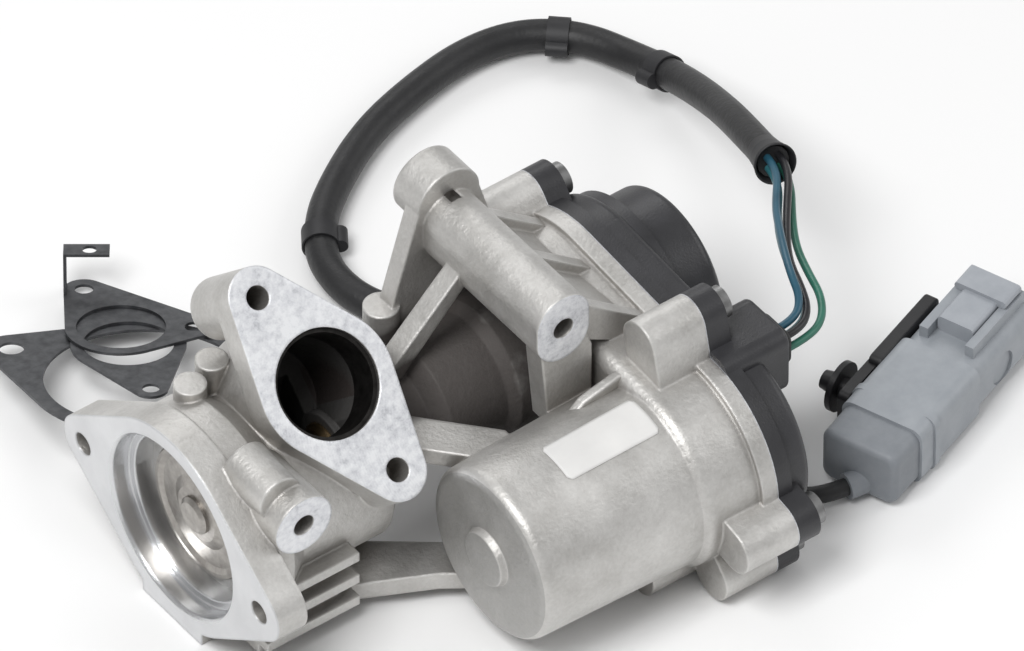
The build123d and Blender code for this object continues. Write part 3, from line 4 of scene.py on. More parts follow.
import bpy
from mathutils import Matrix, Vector


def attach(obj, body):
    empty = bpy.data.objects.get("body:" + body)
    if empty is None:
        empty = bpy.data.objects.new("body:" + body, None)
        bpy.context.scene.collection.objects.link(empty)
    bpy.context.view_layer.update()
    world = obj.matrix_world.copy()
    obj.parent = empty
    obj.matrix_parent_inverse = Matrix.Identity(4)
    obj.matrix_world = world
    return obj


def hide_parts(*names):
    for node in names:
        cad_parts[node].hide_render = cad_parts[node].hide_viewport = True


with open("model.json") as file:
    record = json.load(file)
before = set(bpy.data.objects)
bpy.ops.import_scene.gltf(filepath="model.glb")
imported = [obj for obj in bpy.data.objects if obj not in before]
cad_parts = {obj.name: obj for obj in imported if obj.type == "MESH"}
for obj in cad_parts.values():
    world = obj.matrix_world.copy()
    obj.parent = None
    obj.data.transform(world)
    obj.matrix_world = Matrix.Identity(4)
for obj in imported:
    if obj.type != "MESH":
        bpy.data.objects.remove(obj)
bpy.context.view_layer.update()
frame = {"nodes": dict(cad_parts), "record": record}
nodes = frame["nodes"]

# The photograph's view, and the floor
IMAGE_WIDTH = 1024
PIXELS_PER_METRE = 3780.0
AZIMUTH = math.radians(-36.9)
ELEVATION = math.radians(44.3)
CAMERA_DISTANCE = 5.0
SENSOR_WIDTH = 36.0
VIEW_CENTRE = Vector((0.117, 0.007, 0.0))
FLOOR_Z = -0.033
FLOOR_GAP = 0.0003
FLOOR_HALF = 6.0

# Places on the housing, in metres, that its material and the label need
INLET_CENTRE = Vector((0.043, -0.0115, 0.0365))
INLET_NORMAL = Vector((0.0, -math.sqrt(0.5), math.sqrt(0.5)))
INLET_BORE_RADIUS = 0.015
INLET_START_X = 0.015
INLET_END_X = 0.072
CUTTER_CENTRE = (0.083, -0.030, 0.018)
MOTOR_Y = -0.056
MOTOR_Z = -0.003
SHELL_RADIUS = 0.0251
SHELL_START_X = 0.062
SHELL_DRAFT = math.tan(math.radians(1.6))
SHELL_END_Y = -0.030
FRONT_FACE_Y = -0.038
LOWER_BOSS_X = 0.017
LOWER_BOSS_Y = -0.036
LOWER_BOSS_REACH = 0.0105
LUG_FACE_Y = 0.023
LUG_START_X = 0.07
LUG_END_X = 0.11
OUTLET_BORE_RADIUS = 0.0267
SEAT_END_X = 0.0165
CHAMBER_RADIUS = 0.0226
CHAMBER_END_X = 0.0535
NECK_START_X = 0.056
NECK_END_X = 0.1115
NECK_REACH = 0.0235
NECK_RAGGEDNESS = 0.006
NECK_FADE = 260.0
RIM_X = 0.135

# How far the masks of the machined faces reach, and how squarely a face looks along its axis
MILLED_DEPTH = 0.0004
FACED_DEPTH = 0.0003
OUTLET_BORE_MARGIN = 0.0009
INLET_BORE_MARGIN = 0.0004
INLET_BORE_START = 0.0006
SEAT_MARGIN = 0.0002
SHELL_END_DEPTH = 0.003
SQUARE = 0.95
INLET_SQUARE = 0.97
SHELL_END_SQUARE = 0.8

# Tones of the casting: the place on a ramp and the colour, or one colour
CAST_TONES = ((0.30, (0.46, 0.45, 0.43)), (0.52, (0.60, 0.59, 0.572)), (0.72, (0.73, 0.72, 0.70)))
CUT_TONES = ((0.36, (0.50, 0.51, 0.54)), (0.46, (0.70, 0.71, 0.74)), (0.58, (0.84, 0.85, 0.87)))
FINE_TONES = ((0.35, (0.62, 0.625, 0.635)), (0.65, (0.70, 0.705, 0.715)))
# Lighter tone on the edges: part wear, part painted highlight
EDGE_WEAR_AND_HIGHLIGHT_TONE = (0.80, 0.79, 0.77)
# Dark tone painted into corners and recesses as shade
CORNER_SHADE_TONE = (0.17, 0.15, 0.13)
# Darker tone painted on the shell's closed end
SHELL_END_TONE = (0.27, 0.27, 0.265)
# Near-black tone: soot in the chamber, painted shade down the inlet bore
SOOT_AND_SHADE_TONE = (0.030, 0.028, 0.027)
# Dark tone painted on the neck as shade
NECK_SHADE_TONE = (0.046, 0.037, 0.034)

# How much of its tone each of them gives
# Share of the edges' wear and painted highlight
EDGE_WEAR_AND_HIGHLIGHT_SHARE = 0.55
# Share of the painted shade in corners
CORNER_SHADE_SHARE = 0.6
SHELL_END_SHARE = 0.45
# Share of the chamber's soot and the inlet bore's painted shade
SOOT_AND_SHADE_SHARE = 0.93
# Share of the painted shade on the neck
NECK_SHADE_SHARE = 0.92

# Scales of the casting's noise, and how much grain and spots weigh against patches
GRAIN_SCALE = 900
SPOT_SCALE = 420
DIMPLE_SCALE = 260
RAGGED_SCALE = 70
PATCH_SCALE = 55
GRAIN_SHARE = 0.25
SPOT_SHARE = 0.6

# Roughness and metallic share of the cast skin, the cut faces, the turned bore and the darkened
# places of soot and painted shade
CAST_ROUGHNESS = 0.38
CAST_ROUGHNESS_SPREAD = 0.25
CUT_ROUGHNESS = 0.26
CUT_ROUGHNESS_SPREAD = 0.3
BORE_ROUGHNESS = 0.24
DARK_ROUGHNESS = 0.7
CAST_METALLIC = 0.8
CUT_METALLIC = 0.5
BORE_METALLIC = 0.95
DARK_METALLIC = 0.15

# Edges and corners that the materials find by themselves
BEVEL_SAMPLES = 6
CORNER_SAMPLES = 6
EDGE_GAIN = 9.0
EDGE_RADIUS = 0.0011
CORNER_REACH = 0.009

# Cutting marks, in radians to the metre, and the depths of the fine relief
TURNED_RINGS = 9000.0
OUTLET_LINES = 7000.0
INLET_ARCS = 8000.0
MARK_DEPTH = 0.00002
GRAIN_DEPTH = 0.00022
DIMPLE_DEPTH = 0.0004

# Cord routes and sizes, in millimetres
WIRE_DIAMETER = 2.2
SLEEVE_DIAMETER = 9.0
TAIL_DIAMETER = 5.0
WIRE_START_X = 159.5
WIRE_SPREAD = 1.6
MOUTH_RUN = 9.0
SLEEVE_POINTS = [
    (204.0, 7.0, 10.0),
    (211.0, 30.0, 1.5),
    (218.0, 52.0, -9.5),
    (222.5, 73.5, -20.0),
    (222.5, 91.5, -27.0),
    (216.5, 108.0, -27.8),
    (204.0, 118.8, -27.8),
    (187.0, 121.8, -27.8),
    (167.0, 118.5, -27.8),
    (148.0, 113.0, -27.8),
    (131.0, 103.5, -27.8),
    (117.0, 93.0, -27.8),
    (107.5, 79.0, -27.8),
    (106.8, 62.0, -27.8),
    (115.0, 47.5, -27.8),
    (129.6, 39.4, -27.8),
    (147.0, 39.8, -27.8),
    (163.4, 31.6, -27.8),
    (172.6, 17.0, -27.8),
    (173.0, 0.0, -27.8),
    (169.0, -17.0, -27.8),
    (163.5, -30.0, -27.8),
]
TAIL_POINTS = [
    (163.5, -30.0, -27.8),
    (159.6, -39.2, -27.8),
    (155.6, -51.0, -29.0),
    (154.6, -60.5, -30.0),
    (158.0, -67.2, -29.6),
    (164.1, -70.9, -28.5),
    (168.53, -71.51, -28.5),
]
# Each wire's place in the sleeve's mouth, to the side and up, and its route from the tower
WIRES = {
    "black": (-1, 1, [
        (165.5, -55.6, 19.7), (171.2, -50.6, 19.7), (175.0, -42.6, 19.2),
        (178.4, -33.6, 18.2), (184.0, -24.6, 16.8), (191.8, -14.6, 15.9),
    ]),
    "blue": (1, 1, [
        (165.4, -52.4, 20.2), (170.6, -48.2, 21.6), (173.4, -40.3, 22.9),
        (177.8, -31.6, 22.2), (183.2, -22.4, 20.4), (189.3, -12.9, 17.4),
    ]),
    "green": (-1, -1, [
        (166.5, -56.4, 15.9), (173.8, -53.4, 15.4), (179.6, -45.8, 15.0),
        (182.6, -36.0, 14.6), (186.4, -26.0, 13.6), (192.6, -16.0, 12.4),
    ]),
    "teal": (1, -1, [
        (164.8, -52.4, 15.8), (171.6, -49.4, 15.3), (176.4, -42.2, 14.9),
        (179.4, -33.0, 14.4), (183.6, -23.4, 13.2), (189.6, -13.4, 12.0),
    ]),
}

# The sleeve's flared end: distances in from the mouth, and radii
FLARE_PROFILE = [
    (8.0, 4.6), (4.0, 4.95), (0.0, 5.6), (-1.6, 6.0),
    (-1.9, 5.7), (-1.6, 5.4), (0.0, 5.0), (3.0, 4.4),
]

# The short rib at the root of the motor's shell, in x and z
RIB_OUTLINE = [(130.0, 16.0), (130.0, 25.5), (112.0, 25.0), (101.0, 22.5), (94.0, 17.0)]
RIB_Y = -43.0
RIB_THICKNESS = 3.0
RIB_ROUNDING = 0.7

# The mounting clip's rail: ends along the connector, and heights from the connector's axis
CONNECTOR_ORIGIN = Vector((172.0, -72.0, -23.5))
CONNECTOR_TURN = math.radians(20.4)
CLIP_RAIL_ENDS = (30.0, 60.0)
CLIP_RAIL_HEIGHTS = (-0.5, 8.3)
CLIP_RAIL_CORNER = 2.0
CLIP_RAIL_ROUNDING = 0.5
CLIP_RAIL_THICKNESS = 3.9
CLIP_SIDE = 15.8

# The blank label on the motor's shell, in metres and degrees round the shell
LABEL_START_X = 0.0813
LABEL_END_X = 0.111
LABEL_ANGLES = (83.0, 112.0)
LABEL_COLUMNS = 30
LABEL_ROWS = 14
LABEL_CORNER = 0.0012
LABEL_LIFT = 0.00006
LABEL_THICKNESS = 0.00012

SURROUND_STRENGTH = 0.42
ALONG_X = Vector((1.0, 0.0, 0.0))
UPWARD = Vector((0.0, 0.0, 1.0))


class Shade:
    """A procedural material, with short names for the nodes that most of them use."""

    def __init__(self, name, metallic=0.0, roughness=0.5, sheen=0.0):
        self.material = bpy.data.materials.new(name)
        self.material.use_nodes = True
        self.tree = self.material.node_tree
        self.shader = self.tree.nodes["Principled BSDF"]
        self.shader.inputs["Metallic"].default_value = metallic
        self.shader.inputs["Roughness"].default_value = roughness
        self.shader.inputs["Sheen Weight"].default_value = sheen
        coordinates = self.tree.nodes.new("ShaderNodeTexCoord")
        self.place = coordinates.outputs["Object"]
        self.normal = coordinates.outputs["Normal"]
        self.bent_normal = None

    def link(self, value, socket):
        if isinstance(value, bpy.types.NodeSocket):
            self.tree.links.new(value, socket)
        else:
            socket.default_value = value

    def set(self, name, value):
        self.link(value, self.shader.inputs[name])

    def math(self, operation, first, second=0.0, third=0.0, clamp=False):
        node = self.tree.nodes.new("ShaderNodeMath")
        node.operation = operation
        node.use_clamp = clamp
        for socket, value in zip(node.inputs, (first, second, third)):
            self.link(value, socket)
        return node.outputs[0]

    def all_of(self, *masks):
        """1 where all the masks are 1."""
        joint = masks[0]
        for mask in masks[1:]:
            joint = self.math("MULTIPLY", joint, mask)
        return joint

    def any_of(self, *masks):
        """1 where at least one of the masks is 1."""
        joint = masks[0]
        for mask in masks[1:]:
            joint = self.math("MAXIMUM", joint, mask)
        return joint

    def above(self, value, limit):
        return self.math("GREATER_THAN", value, limit)

    def below(self, value, limit):
        return self.math("LESS_THAN", value, limit)

    def between(self, value, low, high):
        """1 where the value lies between two limits, else 0."""
        return self.all_of(self.above(value, low), self.below(value, high))

    def near(self, value, middle, reach):
        return self.between(value, middle - reach, middle + reach)

    def split(self, vector):
        node = self.tree.nodes.new("ShaderNodeSeparateXYZ")
        self.link(vector, node.inputs[0])
        return node.outputs

    def vector(self, operation, first, second=(0.0, 0.0, 0.0)):
        node = self.tree.nodes.new("ShaderNodeVectorMath")
        node.operation = operation
        self.link(first, node.inputs[0])
        self.link(second, node.inputs["Scale" if operation == "SCALE" else 1])
        return node.outputs["Value"] if operation in ("DOT_PRODUCT", "LENGTH") else node.outputs[0]

    def mix(self, share, first, second):
        """A number that goes from the first to the second as the share goes from 0 to 1."""
        step = self.math("SUBTRACT", second, first)
        return self.math("MULTIPLY_ADD", share, step, first)

    def edges(self, radius):
        """Rounds the normals over sharp edges, and gives a share that is 1 at an edge."""
        node = self.tree.nodes.new("ShaderNodeBevel")
        node.samples = BEVEL_SAMPLES
        node.inputs["Radius"].default_value = radius
        self.bent_normal = node.outputs[0]
        self.tree.links.new(self.bent_normal, self.shader.inputs["Normal"])
        flat = self.tree.nodes.new("ShaderNodeNewGeometry").outputs["Normal"]
        bend = self.math("SUBTRACT", 1.0, self.vector("DOT_PRODUCT", node.outputs[0], flat))
        return self.math("MULTIPLY", bend, EDGE_GAIN, clamp=True)

    def corners(self, reach):
        """A share that grows from 0 in the open to 1 deep in a corner or recess."""
        node = self.tree.nodes.new("ShaderNodeAmbientOcclusion")
        node.samples = CORNER_SAMPLES
        node.inputs["Distance"].default_value = reach
        return self.math("SUBTRACT", 1.0, node.outputs["AO"], clamp=True)

    def noise(self, scale, detail=4.0, roughness=0.55):
        node = self.tree.nodes.new("ShaderNodeTexNoise")
        node.inputs["Scale"].default_value = scale
        node.inputs["Detail"].default_value = detail
        node.inputs["Roughness"].default_value = roughness
        self.tree.links.new(self.place, node.inputs["Vector"])
        return node.outputs["Fac"]

    def waves(self, distance, rate):
        return self.math("SINE", self.math("MULTIPLY", distance, rate))

    def ramp(self, value, *stops):
        node = self.tree.nodes.new("ShaderNodeValToRGB")
        self.link(value, node.inputs[0])
        elements = node.color_ramp.elements
        while len(elements) < len(stops):
            elements.new(0.5)
        for element, (position, colour) in zip(elements, stops):
            element.position = position
            element.color = (*colour, 1.0)
        return node.outputs[0]

    def blend(self, mask, share, first, second):
        """The first colour, with the second over it by the mask and its share."""
        node = self.tree.nodes.new("ShaderNodeMix")
        node.data_type = "RGBA"
        self.link(mask if share == 1.0 else self.math("MULTIPLY", mask, share), node.inputs[0])
        for socket, value in ((node.inputs[6], first), (node.inputs[7], second)):
            is_socket = isinstance(value, bpy.types.NodeSocket)
            self.link(value if is_socket else (*value, 1.0), socket)
        return node.outputs[2]

    def mottled(self, scale, low, high):
        """Sets the base colour to two tones that noise mixes."""
        self.set("Base Color", self.ramp(self.noise(scale, 4, 0.6), (0.3, low), (0.7, high)))

    def uneven(self, scale, middle, spread):
        """Sets the roughness to a middle value that noise raises and lowers."""
        lowest = middle - spread / 2
        self.set("Roughness", self.math("MULTIPLY_ADD", self.noise(scale, 3), spread, lowest))

    def bump(self, height, distance, strength=0.5):
        node = self.tree.nodes.new("ShaderNodeBump")
        node.inputs["Distance"].default_value = distance
        node.inputs["Strength"].default_value = strength
        self.link(height, node.inputs["Height"])
        if self.bent_normal is not None:
            self.tree.links.new(self.bent_normal, node.inputs["Normal"])
        self.bent_normal = node.outputs[0]
        self.tree.links.new(self.bent_normal, self.shader.inputs["Normal"])


def cast_aluminium():
    """Cast skin with machined faces, edges lightened as wear and painted highlight, painted shade
    in corners, soot, and painted shade down the inlet bore and on the neck.
    """
    s = Shade("cast_aluminium", metallic=CAST_METALLIC)
    x, y, z = s.split(s.place)
    to_right, to_back, _ = s.split(s.normal)
    grain = s.noise(GRAIN_SCALE, 3, 0.6)
    patches = s.noise(PATCH_SCALE, 5, 0.6)
    spots = s.noise(SPOT_SCALE, 5, 0.7)
    from_stem = s.math("SQRT", s.math("ADD", s.math("MULTIPLY", y, y), s.math("MULTIPLY", z, z)))
    to_inlet = s.vector("SUBTRACT", s.place, tuple(INLET_CENTRE))
    off_inlet = s.vector("DOT_PRODUCT", to_inlet, tuple(INLET_NORMAL))

    # Machined: outlet and inlet faces, outlet bore, fronts of the bosses, lug and the tray's rim
    outlet_face = s.below(x, MILLED_DEPTH)
    outlet_bore = s.all_of(
        s.below(from_stem, OUTLET_BORE_RADIUS + OUTLET_BORE_MARGIN), s.below(x, SEAT_END_X)
    )
    inlet_face = s.all_of(
        s.near(off_inlet, 0.0, MILLED_DEPTH),
        s.above(s.vector("DOT_PRODUCT", s.normal, tuple(INLET_NORMAL)), INLET_SQUARE),
        s.between(x, INLET_START_X, INLET_END_X),
    )
    lower_boss = s.all_of(
        s.near(y, LOWER_BOSS_Y, FACED_DEPTH), s.near(x, LOWER_BOSS_X, LOWER_BOSS_REACH)
    )
    front_faces = s.all_of(
        s.any_of(s.near(y, FRONT_FACE_Y, FACED_DEPTH), lower_boss), s.below(to_back, -SQUARE)
    )
    lug_face = s.all_of(
        s.above(y, LUG_FACE_Y - MILLED_DEPTH),
        s.above(to_back, SQUARE),
        s.between(x, LUG_START_X, LUG_END_X),
    )
    rim_face = s.above(x, RIM_X - FACED_DEPTH)
    machined = s.any_of(outlet_face, outlet_bore, inlet_face, front_faces, lug_face, rim_face)

    # The outlet face is milled finer than the inlet face, and its bore is turned
    grainy = s.math("MULTIPLY", grain, GRAIN_SHARE)
    cast = s.ramp(s.math("MULTIPLY_ADD", patches, 1 - GRAIN_SHARE, grainy), *CAST_TONES)
    spotted = s.math("MULTIPLY", spots, SPOT_SHARE)
    cut = s.ramp(s.math("MULTIPLY_ADD", patches, 1 - SPOT_SHARE, spotted), *CUT_TONES)
    fine = s.ramp(patches, *FINE_TONES)
    cut = s.blend(s.any_of(outlet_face, outlet_bore), 1.0, cut, fine)

    # Edges painted lighter, part wear and part painted highlight; painted shade in corners; the
    # shell's closed end painted darker
    cast = s.blend(s.edges(EDGE_RADIUS), EDGE_WEAR_AND_HIGHLIGHT_SHARE, cast, EDGE_WEAR_AND_HIGHLIGHT_TONE)
    # Painted shade: corners and recesses darkened by an occlusion mask
    cast = s.blend(s.corners(CORNER_REACH), CORNER_SHADE_SHARE, cast, CORNER_SHADE_TONE)
    # The shell's closed end is painted darker
    shell_end = s.all_of(
        s.below(to_right, -SHELL_END_SQUARE),
        s.below(y, SHELL_END_Y),
        s.near(x, SHELL_START_X, SHELL_END_DEPTH),
    )
    cast = s.blend(shell_end, SHELL_END_SHARE, cast, SHELL_END_TONE)
    colour = s.blend(machined, 1.0, cast, cut)

    # Soot on the gas side, painted shade down the inlet bore, and painted shade on the neck behind
    # the inlet
    chamber = s.all_of(
        s.below(from_stem, CHAMBER_RADIUS), s.between(x, SEAT_END_X - SEAT_MARGIN, CHAMBER_END_X)
    )
    along_inlet = s.vector("SCALE", tuple(INLET_NORMAL), off_inlet)
    off_axis = s.vector("LENGTH", s.vector("SUBTRACT", to_inlet, along_inlet))
    # The inlet bore's wall is painted dark as painted shade
    inlet_bore = s.all_of(
        s.below(off_axis, INLET_BORE_RADIUS + INLET_BORE_MARGIN),
        s.below(off_inlet, -INLET_BORE_START),
    )
    soot_and_shade = s.any_of(chamber, inlet_bore)
    colour = s.blend(soot_and_shade, SOOT_AND_SHADE_SHARE, colour, SOOT_AND_SHADE_TONE)
    # Painted shade on the neck between the housing and the tray, with a ragged edge
    smooth_reach = s.math("SUBTRACT", from_stem, NECK_RAGGEDNESS / 2)
    ragged_reach = s.math("MULTIPLY_ADD", s.noise(RAGGED_SCALE, 4), NECK_RAGGEDNESS, smooth_reach)
    neck_shade = s.math("MULTIPLY", s.math("SUBTRACT", NECK_REACH, ragged_reach), NECK_FADE, clamp=True)
    neck_shade = s.all_of(neck_shade, s.between(x, NECK_START_X, NECK_END_X))
    s.set("Base Color", s.blend(neck_shade, NECK_SHADE_SHARE, colour, NECK_SHADE_TONE))

    rough_cast = s.math("MULTIPLY_ADD", patches, CAST_ROUGHNESS_SPREAD, CAST_ROUGHNESS)
    rough_cut = s.math("MULTIPLY_ADD", spots, CUT_ROUGHNESS_SPREAD, CUT_ROUGHNESS)
    dark = s.any_of(soot_and_shade, neck_shade)
    rough = s.mix(outlet_bore, s.mix(machined, rough_cast, rough_cut), BORE_ROUGHNESS)
    s.set("Roughness", s.mix(dark, rough, DARK_ROUGHNESS))
    shiny = s.mix(outlet_bore, s.mix(machined, CAST_METALLIC, CUT_METALLIC), BORE_METALLIC)
    s.set("Metallic", s.mix(dark, shiny, DARK_METALLIC))

    # Fine relief: the cast skin's grain, and the marks of turning and milling
    from_cutter = s.vector("LENGTH", s.vector("SUBTRACT", s.place, CUTTER_CENTRE))
    marks = s.math(
        "ADD",
        s.math("MULTIPLY", s.waves(from_stem, TURNED_RINGS), outlet_bore),
        s.math("MULTIPLY", s.waves(z, OUTLET_LINES), outlet_face),
    )
    marks = s.math("MULTIPLY_ADD", s.waves(from_cutter, INLET_ARCS), inlet_face, marks)
    skin = s.math("SUBTRACT", 1.0, machined)
    s.bump(s.math("MULTIPLY", grain, skin), GRAIN_DEPTH, 0.7)
    s.bump(s.math("MULTIPLY", s.noise(DIMPLE_SCALE, 3), skin), DIMPLE_DEPTH)
    s.bump(marks, MARK_DEPTH)
    return s.material


def metal(name, low, high, roughness, scale=300, grain=1500, depth=0.00004):
    """Plain metal: two mottled tones, uneven roughness and fine grain."""
    s = Shade(name, metallic=1.0)
    s.mottled(scale, low, high)
    s.uneven(scale * 0.4, roughness, 0.2)
    s.bump(s.noise(grain, 2), depth)
    return s.material


def plastic(name, low, high, roughness, scale=120, grain=2500, depth=0.00006):
    """Moulded plastic, also used for rubber, ferrite, carbon, tape and paper."""
    s = Shade(name)
    s.mottled(scale, low, high)
    s.uneven(scale / 2, roughness, 0.22)
    s.bump(s.noise(grain, 2, 0.5), depth, 0.55)
    return s.material


def sleeve_plastic():
    """Coarse black cloth-like skin of the harness sleeve and tail."""
    s = Shade("sleeve_plastic", sheen=0.05)
    s.mottled(90, (0.006, 0.006, 0.007), (0.014, 0.014, 0.015))
    s.uneven(200, 0.52, 0.2)
    s.bump(s.noise(700, 3, 0.6), 0.0003)
    return s.material


# Darkest tone, lightest tone and roughness
METALS = {
    "valve_steel": ((0.30, 0.28, 0.26), (0.48, 0.46, 0.43), 0.38),
    "seat_steel": ((0.45, 0.44, 0.42), (0.62, 0.61, 0.59), 0.3),
    "guide_bronze": ((0.36, 0.25, 0.13), (0.50, 0.36, 0.20), 0.35),
    # The inlet sleeve is painted near black as painted shade inside the inlet bore
    "sleeve_steel": ((0.022, 0.021, 0.020), (0.055, 0.052, 0.050), 0.6),
    "hardened_steel": ((0.44, 0.44, 0.45), (0.60, 0.60, 0.61), 0.25),
    "bearing_steel": ((0.52, 0.52, 0.54), (0.66, 0.66, 0.68), 0.2),
    "spring_steel": ((0.28, 0.28, 0.30), (0.42, 0.42, 0.44), 0.3),
    "plated_steel": ((0.52, 0.51, 0.46), (0.68, 0.67, 0.62), 0.3),
    "bush_bronze": ((0.36, 0.25, 0.13), (0.50, 0.36, 0.20), 0.4),
    "lamination_steel": ((0.20, 0.20, 0.21), (0.33, 0.33, 0.34), 0.45),
    "copper": ((0.60, 0.30, 0.17), (0.74, 0.40, 0.24), 0.3),
    "screw_steel": ((0.20, 0.20, 0.20), (0.31, 0.31, 0.31), 0.42),
    "terminal_brass": ((0.60, 0.50, 0.28), (0.72, 0.62, 0.38), 0.25),
    "gasket_steel": ((0.085, 0.087, 0.092), (0.15, 0.153, 0.16), 0.5),
}
# The same, and for some of them also the scale of the tones, that of the grain and its depth
PLASTICS = {
    "seal_rubber": ((0.02, 0.02, 0.02), (0.035, 0.035, 0.035), 0.7),
    "gear_plastic": ((0.62, 0.60, 0.54), (0.74, 0.72, 0.66), 0.4),
    "ferrite": ((0.035, 0.035, 0.037), (0.06, 0.06, 0.063), 0.6),
    "brush_carbon": ((0.03, 0.03, 0.03), (0.06, 0.06, 0.06), 0.6),
    "cover_plastic": ((0.020, 0.020, 0.022), (0.036, 0.036, 0.040), 0.40, 70, 1600, 0.00012),
    "board_resin": ((0.02, 0.10, 0.05), (0.03, 0.15, 0.08), 0.4),
    "wire_black": ((0.008, 0.008, 0.010), (0.016, 0.016, 0.018), 0.35),
    "wire_blue": ((0.015, 0.07, 0.11), (0.025, 0.10, 0.15), 0.35),
    "wire_green": ((0.02, 0.12, 0.08), (0.035, 0.17, 0.12), 0.35),
    "wire_teal": ((0.02, 0.12, 0.15), (0.04, 0.18, 0.21), 0.35),
    "tape": ((0.012, 0.012, 0.014), (0.022, 0.022, 0.024), 0.55),
    "cap_plastic": ((0.185, 0.20, 0.22), (0.235, 0.25, 0.27), 0.5),
    "connector_plastic": ((0.27, 0.29, 0.315), (0.33, 0.35, 0.375), 0.45),
    "lock_plastic": ((0.30, 0.32, 0.35), (0.36, 0.38, 0.41), 0.45),
    "clip_plastic": ((0.010, 0.010, 0.011), (0.02, 0.02, 0.022), 0.42),
    "label_paper": ((0.66, 0.655, 0.645), (0.74, 0.735, 0.72), 0.5, 60, 3000, 0.00002),
}
materials = {"cast_aluminium": cast_aluminium(), "sleeve_plastic": sleeve_plastic()}
materials |= {name: metal(name, *tones) for name, tones in METALS.items()}
materials |= {name: plastic(name, *tones) for name, tones in PLASTICS.items()}
for part in frame["record"]["subparts"]:
    for place in nodes[part["node"]].material_slots:
        place.material = materials[part["material_slot"]]


def metres(point):
    return tuple(value / 1000 for value in point)


def placed(name, data):
    """Puts a mesh, curve, light or camera into the scene."""
    piece = bpy.data.objects.new(name, data)
    bpy.context.scene.collection.objects.link(piece)
    return piece


def cord_curve(name, points, diameter, slot):
    """Round cord on a smooth NURBS line through its route's control points, in millimetres."""
    curve = bpy.data.curves.new(name, "CURVE")
    curve.dimensions = "3D"
    spline = curve.splines.new("NURBS")
    spline.points.add(len(points) - 1)
    for target, point in zip(spline.points, points):
        target.co = (*metres(point), 1.0)
    spline.order_u = 3
    spline.use_endpoint_u = True
    spline.resolution_u = 10
    curve.bevel_depth = diameter / 2000
    curve.bevel_resolution = 5
    curve.use_fill_caps = True
    curve.materials.append(materials[slot])
    piece = placed(name, curve)
    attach(piece, "root")
    return piece


def show(name, points, faces, slot, bevel=0.0):
    """A rigid piece of the scene, in millimetres, that rides with the housing."""
    mesh = bpy.data.meshes.new(name)
    mesh.from_pydata([metres(point) for point in points], [], faces)
    mesh.shade_smooth()
    mesh.materials.append(materials[slot])
    piece = placed(name, mesh)
    if bevel:
        rounding = piece.modifiers.new("rounding", "BEVEL")
        rounding.width = bevel / 1000
        rounding.segments = 3
        rounding.harden_normals = True
    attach(piece, "root")
    return piece


def extruded(name, outline, origin, along, thickness, slot, bevel):
    """Outline in the upright plane along a direction, extruded to that direction's right."""
    depth = along.cross(UPWARD) * thickness
    base = [origin + along * u + UPWARD * v for u, v in outline]
    points = base + [point + depth for point in base]
    count = len(outline)
    faces = [tuple(reversed(range(count))), tuple(range(count, 2 * count))]
    for corner in range(count):
        after = (corner + 1) % count
        faces.append((corner, after, after + count, corner + count))
    return show(name, points, faces, slot, bevel)


def rounded_rectangle(left, right, bottom, top, radius, steps=6):
    outline = []
    corners = (
        (right - radius, bottom + radius),
        (right - radius, top - radius),
        (left + radius, top - radius),
        (left + radius, bottom + radius),
    )
    for quarter, (u, v) in enumerate(corners):
        for step in range(steps + 1):
            turn = math.radians(90) * (quarter - 1 + step / steps)
            outline.append((u + radius * math.cos(turn), v + radius * math.sin(turn)))
    return outline


def turned(name, profile, origin, along, side, slot, columns=40):
    """Closed profile of distances along an axis and radii, turned round that axis."""
    up = along.cross(side)
    points, faces = [], []
    rows = len(profile)
    for column in range(columns):
        turn = 2 * math.pi * column / columns
        out = side * math.cos(turn) + up * math.sin(turn)
        points += [origin + along * distance + out * radius for distance, radius in profile]
        for row in range(rows):
            first, second = column * rows + row, column * rows + (row + 1) % rows
            step = rows * (columns - 1) if column == columns - 1 else -rows
            faces.append((first, second, second - step, first - step))
    return show(name, points, faces, slot)


# Lead: four wires from the tower to the sleeve's mouth, the sleeve and the thinner tail
mouth = Vector(SLEEVE_POINTS[0])
mouth_direction = (Vector(SLEEVE_POINTS[1]) - mouth).normalized()
mouth_side = mouth_direction.cross(UPWARD).normalized()
mouth_up = mouth_side.cross(mouth_direction)
for colour, (side, up, middle) in WIRES.items():
    end = mouth - mouth_side * side * WIRE_SPREAD + mouth_up * up * WIRE_SPREAD
    start = (WIRE_START_X, middle[0][1], middle[0][2])
    route = [start, *middle, tuple(end - mouth_direction * MOUTH_RUN), tuple(end)]
    wire = cord_curve(f"wire_{colour}", route, WIRE_DIAMETER, f"wire_{colour}")
    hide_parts(f"lead_wire_{colour}")

flare = turned("sleeve_mouth", FLARE_PROFILE, mouth, mouth_direction, mouth_side, "tape")
sleeve = cord_curve("sleeve", SLEEVE_POINTS, SLEEVE_DIAMETER, "sleeve_plastic")
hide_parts("harness_sleeve")

tail = cord_curve("tail", TAIL_POINTS, TAIL_DIAMETER, "sleeve_plastic")
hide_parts("harness_tail")

extruded("shell_rib", RIB_OUTLINE, Vector((0.0, RIB_Y, 0.0)), ALONG_X, RIB_THICKNESS,
         "cast_aluminium", RIB_ROUNDING)

# The rail lies forward of the mounting clip, on the connector's left side
connector_along = Vector((math.cos(CONNECTOR_TURN), math.sin(CONNECTOR_TURN), 0.0))
connector_left = UPWARD.cross(connector_along)
rail_outline = rounded_rectangle(*CLIP_RAIL_ENDS, *CLIP_RAIL_HEIGHTS, CLIP_RAIL_CORNER)
extruded("clip_rail", rail_outline, CONNECTOR_ORIGIN + connector_left * CLIP_SIDE, connector_along,
         CLIP_RAIL_THICKNESS, "clip_plastic", CLIP_RAIL_ROUNDING)


